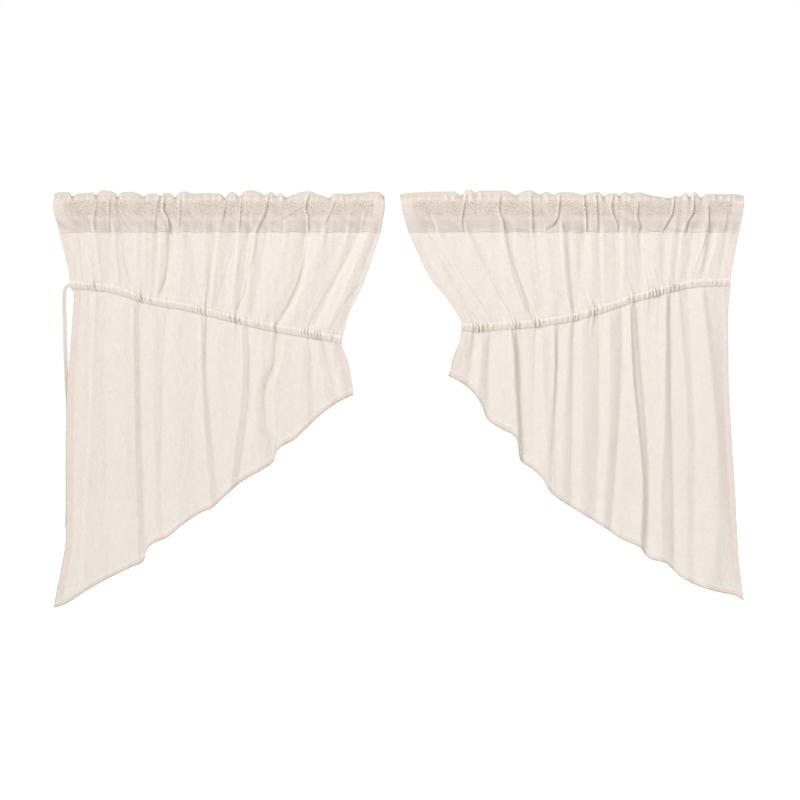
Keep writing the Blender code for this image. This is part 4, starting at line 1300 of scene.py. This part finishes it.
@dataclass
class Tie:
    """The free tie: a narrow strip folded in and stitched flat, which hangs from the casing's end."""

    width: float = 8.0
    thickness: float = 1.2
    turned: float = 28.0
    stations: int = 240
    around: int = 16

    def route(self) -> Array:
        """Read the tie's middle line, close enough to have its length."""
        table = np.array(TIE_ROUTE)
        run = np.concatenate(([0.0], np.cumsum(np.linalg.norm(np.diff(table, axis=0), axis=1))))
        at = np.linspace(0, run[-1], self.stations)
        return np.stack([curve_through(run, table[:, axis], at) for axis in range(3)], axis=-1)

    def build(self) -> bpy.types.Object:
        """Sweep a flat rounded section, thin in the middle and thicker at its sewn edges, down the route."""
        line = self.route()
        ahead = np.gradient(line, axis=0)
        ahead /= np.linalg.norm(ahead, axis=1, keepdims=True)
        across = np.cross(ahead, (0.0, 1.0, 0.0))
        across /= np.linalg.norm(across, axis=1, keepdims=True)
        turn = np.radians(self.turned) * smooth_step(0.15, 0.6, np.linspace(0, 1, self.stations))
        outward = np.cross(across, ahead)
        wide = across * np.cos(turn)[:, None] + outward * np.sin(turn)[:, None]
        deep = np.cross(wide, ahead)
        angle = np.linspace(0, 2 * np.pi, self.around, endpoint=False)
        reach = 0.5 * self.width * np.sign(np.cos(angle)) * np.abs(np.cos(angle)) ** 0.6
        bulge = 0.5 * self.thickness * (0.75 + 0.25 * np.abs(np.cos(angle))) * np.sin(angle)
        points = line[:, None] + wide[:, None] * reach[:, None] + deep[:, None] * bulge[:, None]
        count = self.stations * self.around
        caps = np.concatenate((line[:1] - 0.2 * ahead[:1], line[-1:] + 0.2 * ahead[-1:]))
        ring = np.arange(self.around)
        following = (ring + 1) % self.around
        first, last = count, count + 1
        end = count - self.around
        half = self.around // 2
        even, odd, beyond = ring[::2], ring[1::2], following[1::2]
        start_fan = np.stack((np.full(half, first), beyond, odd, even), axis=-1)
        end_fan = np.stack((np.full(half, last), end + even, end + odd, end + beyond), axis=-1)
        flat = np.stack(np.broadcast_arrays(np.arange(self.stations)[:, None] * 2.2, reach[None, :]), axis=-1)
        surface = Surface(
            points=np.concatenate((points.reshape(-1, 3), caps)),
            quads=np.concatenate((grid_quads(self.stations, self.around, ring=True), start_fan, end_fan)),
            flat=np.concatenate((flat.reshape(-1, 2), np.zeros((2, 2)))),
            values={"layers": np.full(count + 2, 0.5), "trough": np.full(count + 2, 0.3),
                    "painted_rod_shade": np.zeros(count + 2)},
        )
        piece = surface.make("free_tie_left")
        PlainWeaveCotton("folded plain-weave cotton tie", single_alpha=0.95, doubled_alpha=0.97).dress(piece)
        return piece


@dataclass
class Studio:
    """Pale floor, soft light and the camera, straight in front as the photograph was taken."""

    centre_x: float = 0.0154
    centre_z: float = -0.425
    lens: float = 85.0
    sensor: float = 36.0
    distance: float = 4.161
    floor_z: float = -1.30
    floor_half: float = 12.0
    wall_light: float = 0.635
    key_strength: float = 0.97
    key_width: float = 20.0
    key_tilt: float = 60.0
    key_turn: float = -48.0
    overhead_power: float = 18.0
    overhead_size: tuple[float, float] = (2.6, 0.8)
    overhead_place: tuple[float, float, float] = (0.0, -1.4, 1.3)
    overhead_tilt: float = 42.0

    def build(self) -> None:
        """Add the camera, the floor, the white surroundings and the lamps."""
        scene = bpy.context.scene
        scene.view_settings.view_transform = "Standard"
        camera = bpy.data.objects.new("camera", bpy.data.cameras.new("camera"))
        camera.data.lens = self.lens
        camera.data.sensor_width = self.sensor
        camera.location = (self.centre_x, -self.distance, self.centre_z)
        camera.rotation_euler = (np.pi / 2, 0.0, 0.0)
        scene.collection.objects.link(camera)
        scene.camera = camera
        self.surroundings()
        self.floor()
        self.key()
        self.overhead()

    def surroundings(self) -> None:
        """Make the studio's walls: pure white to look at, and a softer white as light on the cloth."""
        world = bpy.data.worlds.new("white studio")
        world.use_nodes = True
        tree = world.node_tree
        seen = add_node(tree, "ShaderNodeLightPath").outputs["Is Camera Ray"]
        strength = add_node(tree, "ShaderNodeMapRange", {
            "Value": seen, "To Min": self.wall_light, "To Max": 1.0,
        })
        tree.links.new(strength.outputs["Result"], tree.nodes["Background"].inputs["Strength"])
        tree.nodes["Background"].inputs["Color"].default_value = (1.0, 1.0, 1.0, 1.0)
        bpy.context.scene.world = world

    def floor(self) -> None:
        """Lay a wide white floor under the drapes."""
        size = self.floor_half
        mesh = bpy.data.meshes.new("floor")
        corners = [(-size, -size, self.floor_z), (size, -size, self.floor_z),
                   (size, size, self.floor_z), (-size, size, self.floor_z)]
        mesh.from_pydata(corners, [], [(0, 1, 2, 3)])
        floor = bpy.data.objects.new("floor", mesh)
        bpy.context.scene.collection.objects.link(floor)
        paint = bpy.data.materials.new("white painted floor")
        paint.use_nodes = True
        shader = paint.node_tree.nodes["Principled BSDF"]
        shader.inputs["Base Color"].default_value = (0.95, 0.95, 0.95, 1.0)
        shader.inputs["Roughness"].default_value = 0.9
        seen = add_node(paint.node_tree, "ShaderNodeLightPath").outputs["Is Camera Ray"]
        glow = add_node(paint.node_tree, "ShaderNodeMath", {0: seen, 1: 0.5}, operation="MULTIPLY").outputs[0]
        shader.inputs["Emission Color"].default_value = (1.0, 1.0, 1.0, 1.0)
        paint.node_tree.links.new(glow, shader.inputs["Emission Strength"])
        mesh.materials.append(paint)

    def key(self) -> None:
        """Light the drapes evenly from the upper left and the front, with soft shadows."""
        lamp = bpy.data.objects.new("key", bpy.data.lights.new("key", "SUN"))
        lamp.data.energy = self.key_strength
        lamp.data.angle = np.radians(self.key_width)
        lamp.rotation_euler = (np.radians(self.key_tilt), 0.0, np.radians(self.key_turn))
        bpy.context.scene.collection.objects.link(lamp)

    def overhead(self) -> None:
        """Hang a long soft box over the front, so that the light falls off a little down the cloth."""
        lamp = bpy.data.objects.new("overhead", bpy.data.lights.new("overhead", "AREA"))
        lamp.data.shape = "RECTANGLE"
        lamp.data.size, lamp.data.size_y = self.overhead_size
        lamp.data.energy = self.overhead_power
        lamp.location = self.overhead_place
        lamp.rotation_euler = (np.radians(self.overhead_tilt), 0.0, 0.0)
        bpy.context.scene.collection.objects.link(lamp)


def place(piece: bpy.types.Object, node: str, slot: Slot) -> None:
    """Put a piece on the frame in place of a solid, and report it."""
    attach(piece, "root")
    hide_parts(node)
    LOG.info("%s: %d faces", piece.name, len(piece.data.polygons))


def make_drape(cut: Cut) -> None:
    side = cut.side.value
    drape = Drape(cut)
    heading = Heading(drape).build()
    place(heading, f"heading_{side}", Slot.DOUBLED)
    panel = Panel(drape).build()
    place(panel, f"panel_{side}", Slot.SHEER)
    casing = Casing(drape).build()
    place(casing, f"casing_{side}", Slot.CASING)


def make_tie() -> None:
    tie = Tie()
    piece = tie.build()
    place(piece, "tie_left", Slot.TIE)
    path = tie.route() * MM


def main() -> None:
    """Load the frame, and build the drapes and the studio."""
    logging.basicConfig(level=logging.INFO, format="%(name)s %(message)s")
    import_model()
    Studio().build()
    make_tie()
    for cut in (LEFT_CUT, RIGHT_CUT):
        make_drape(cut)


if __name__ == "__main__":
    main()
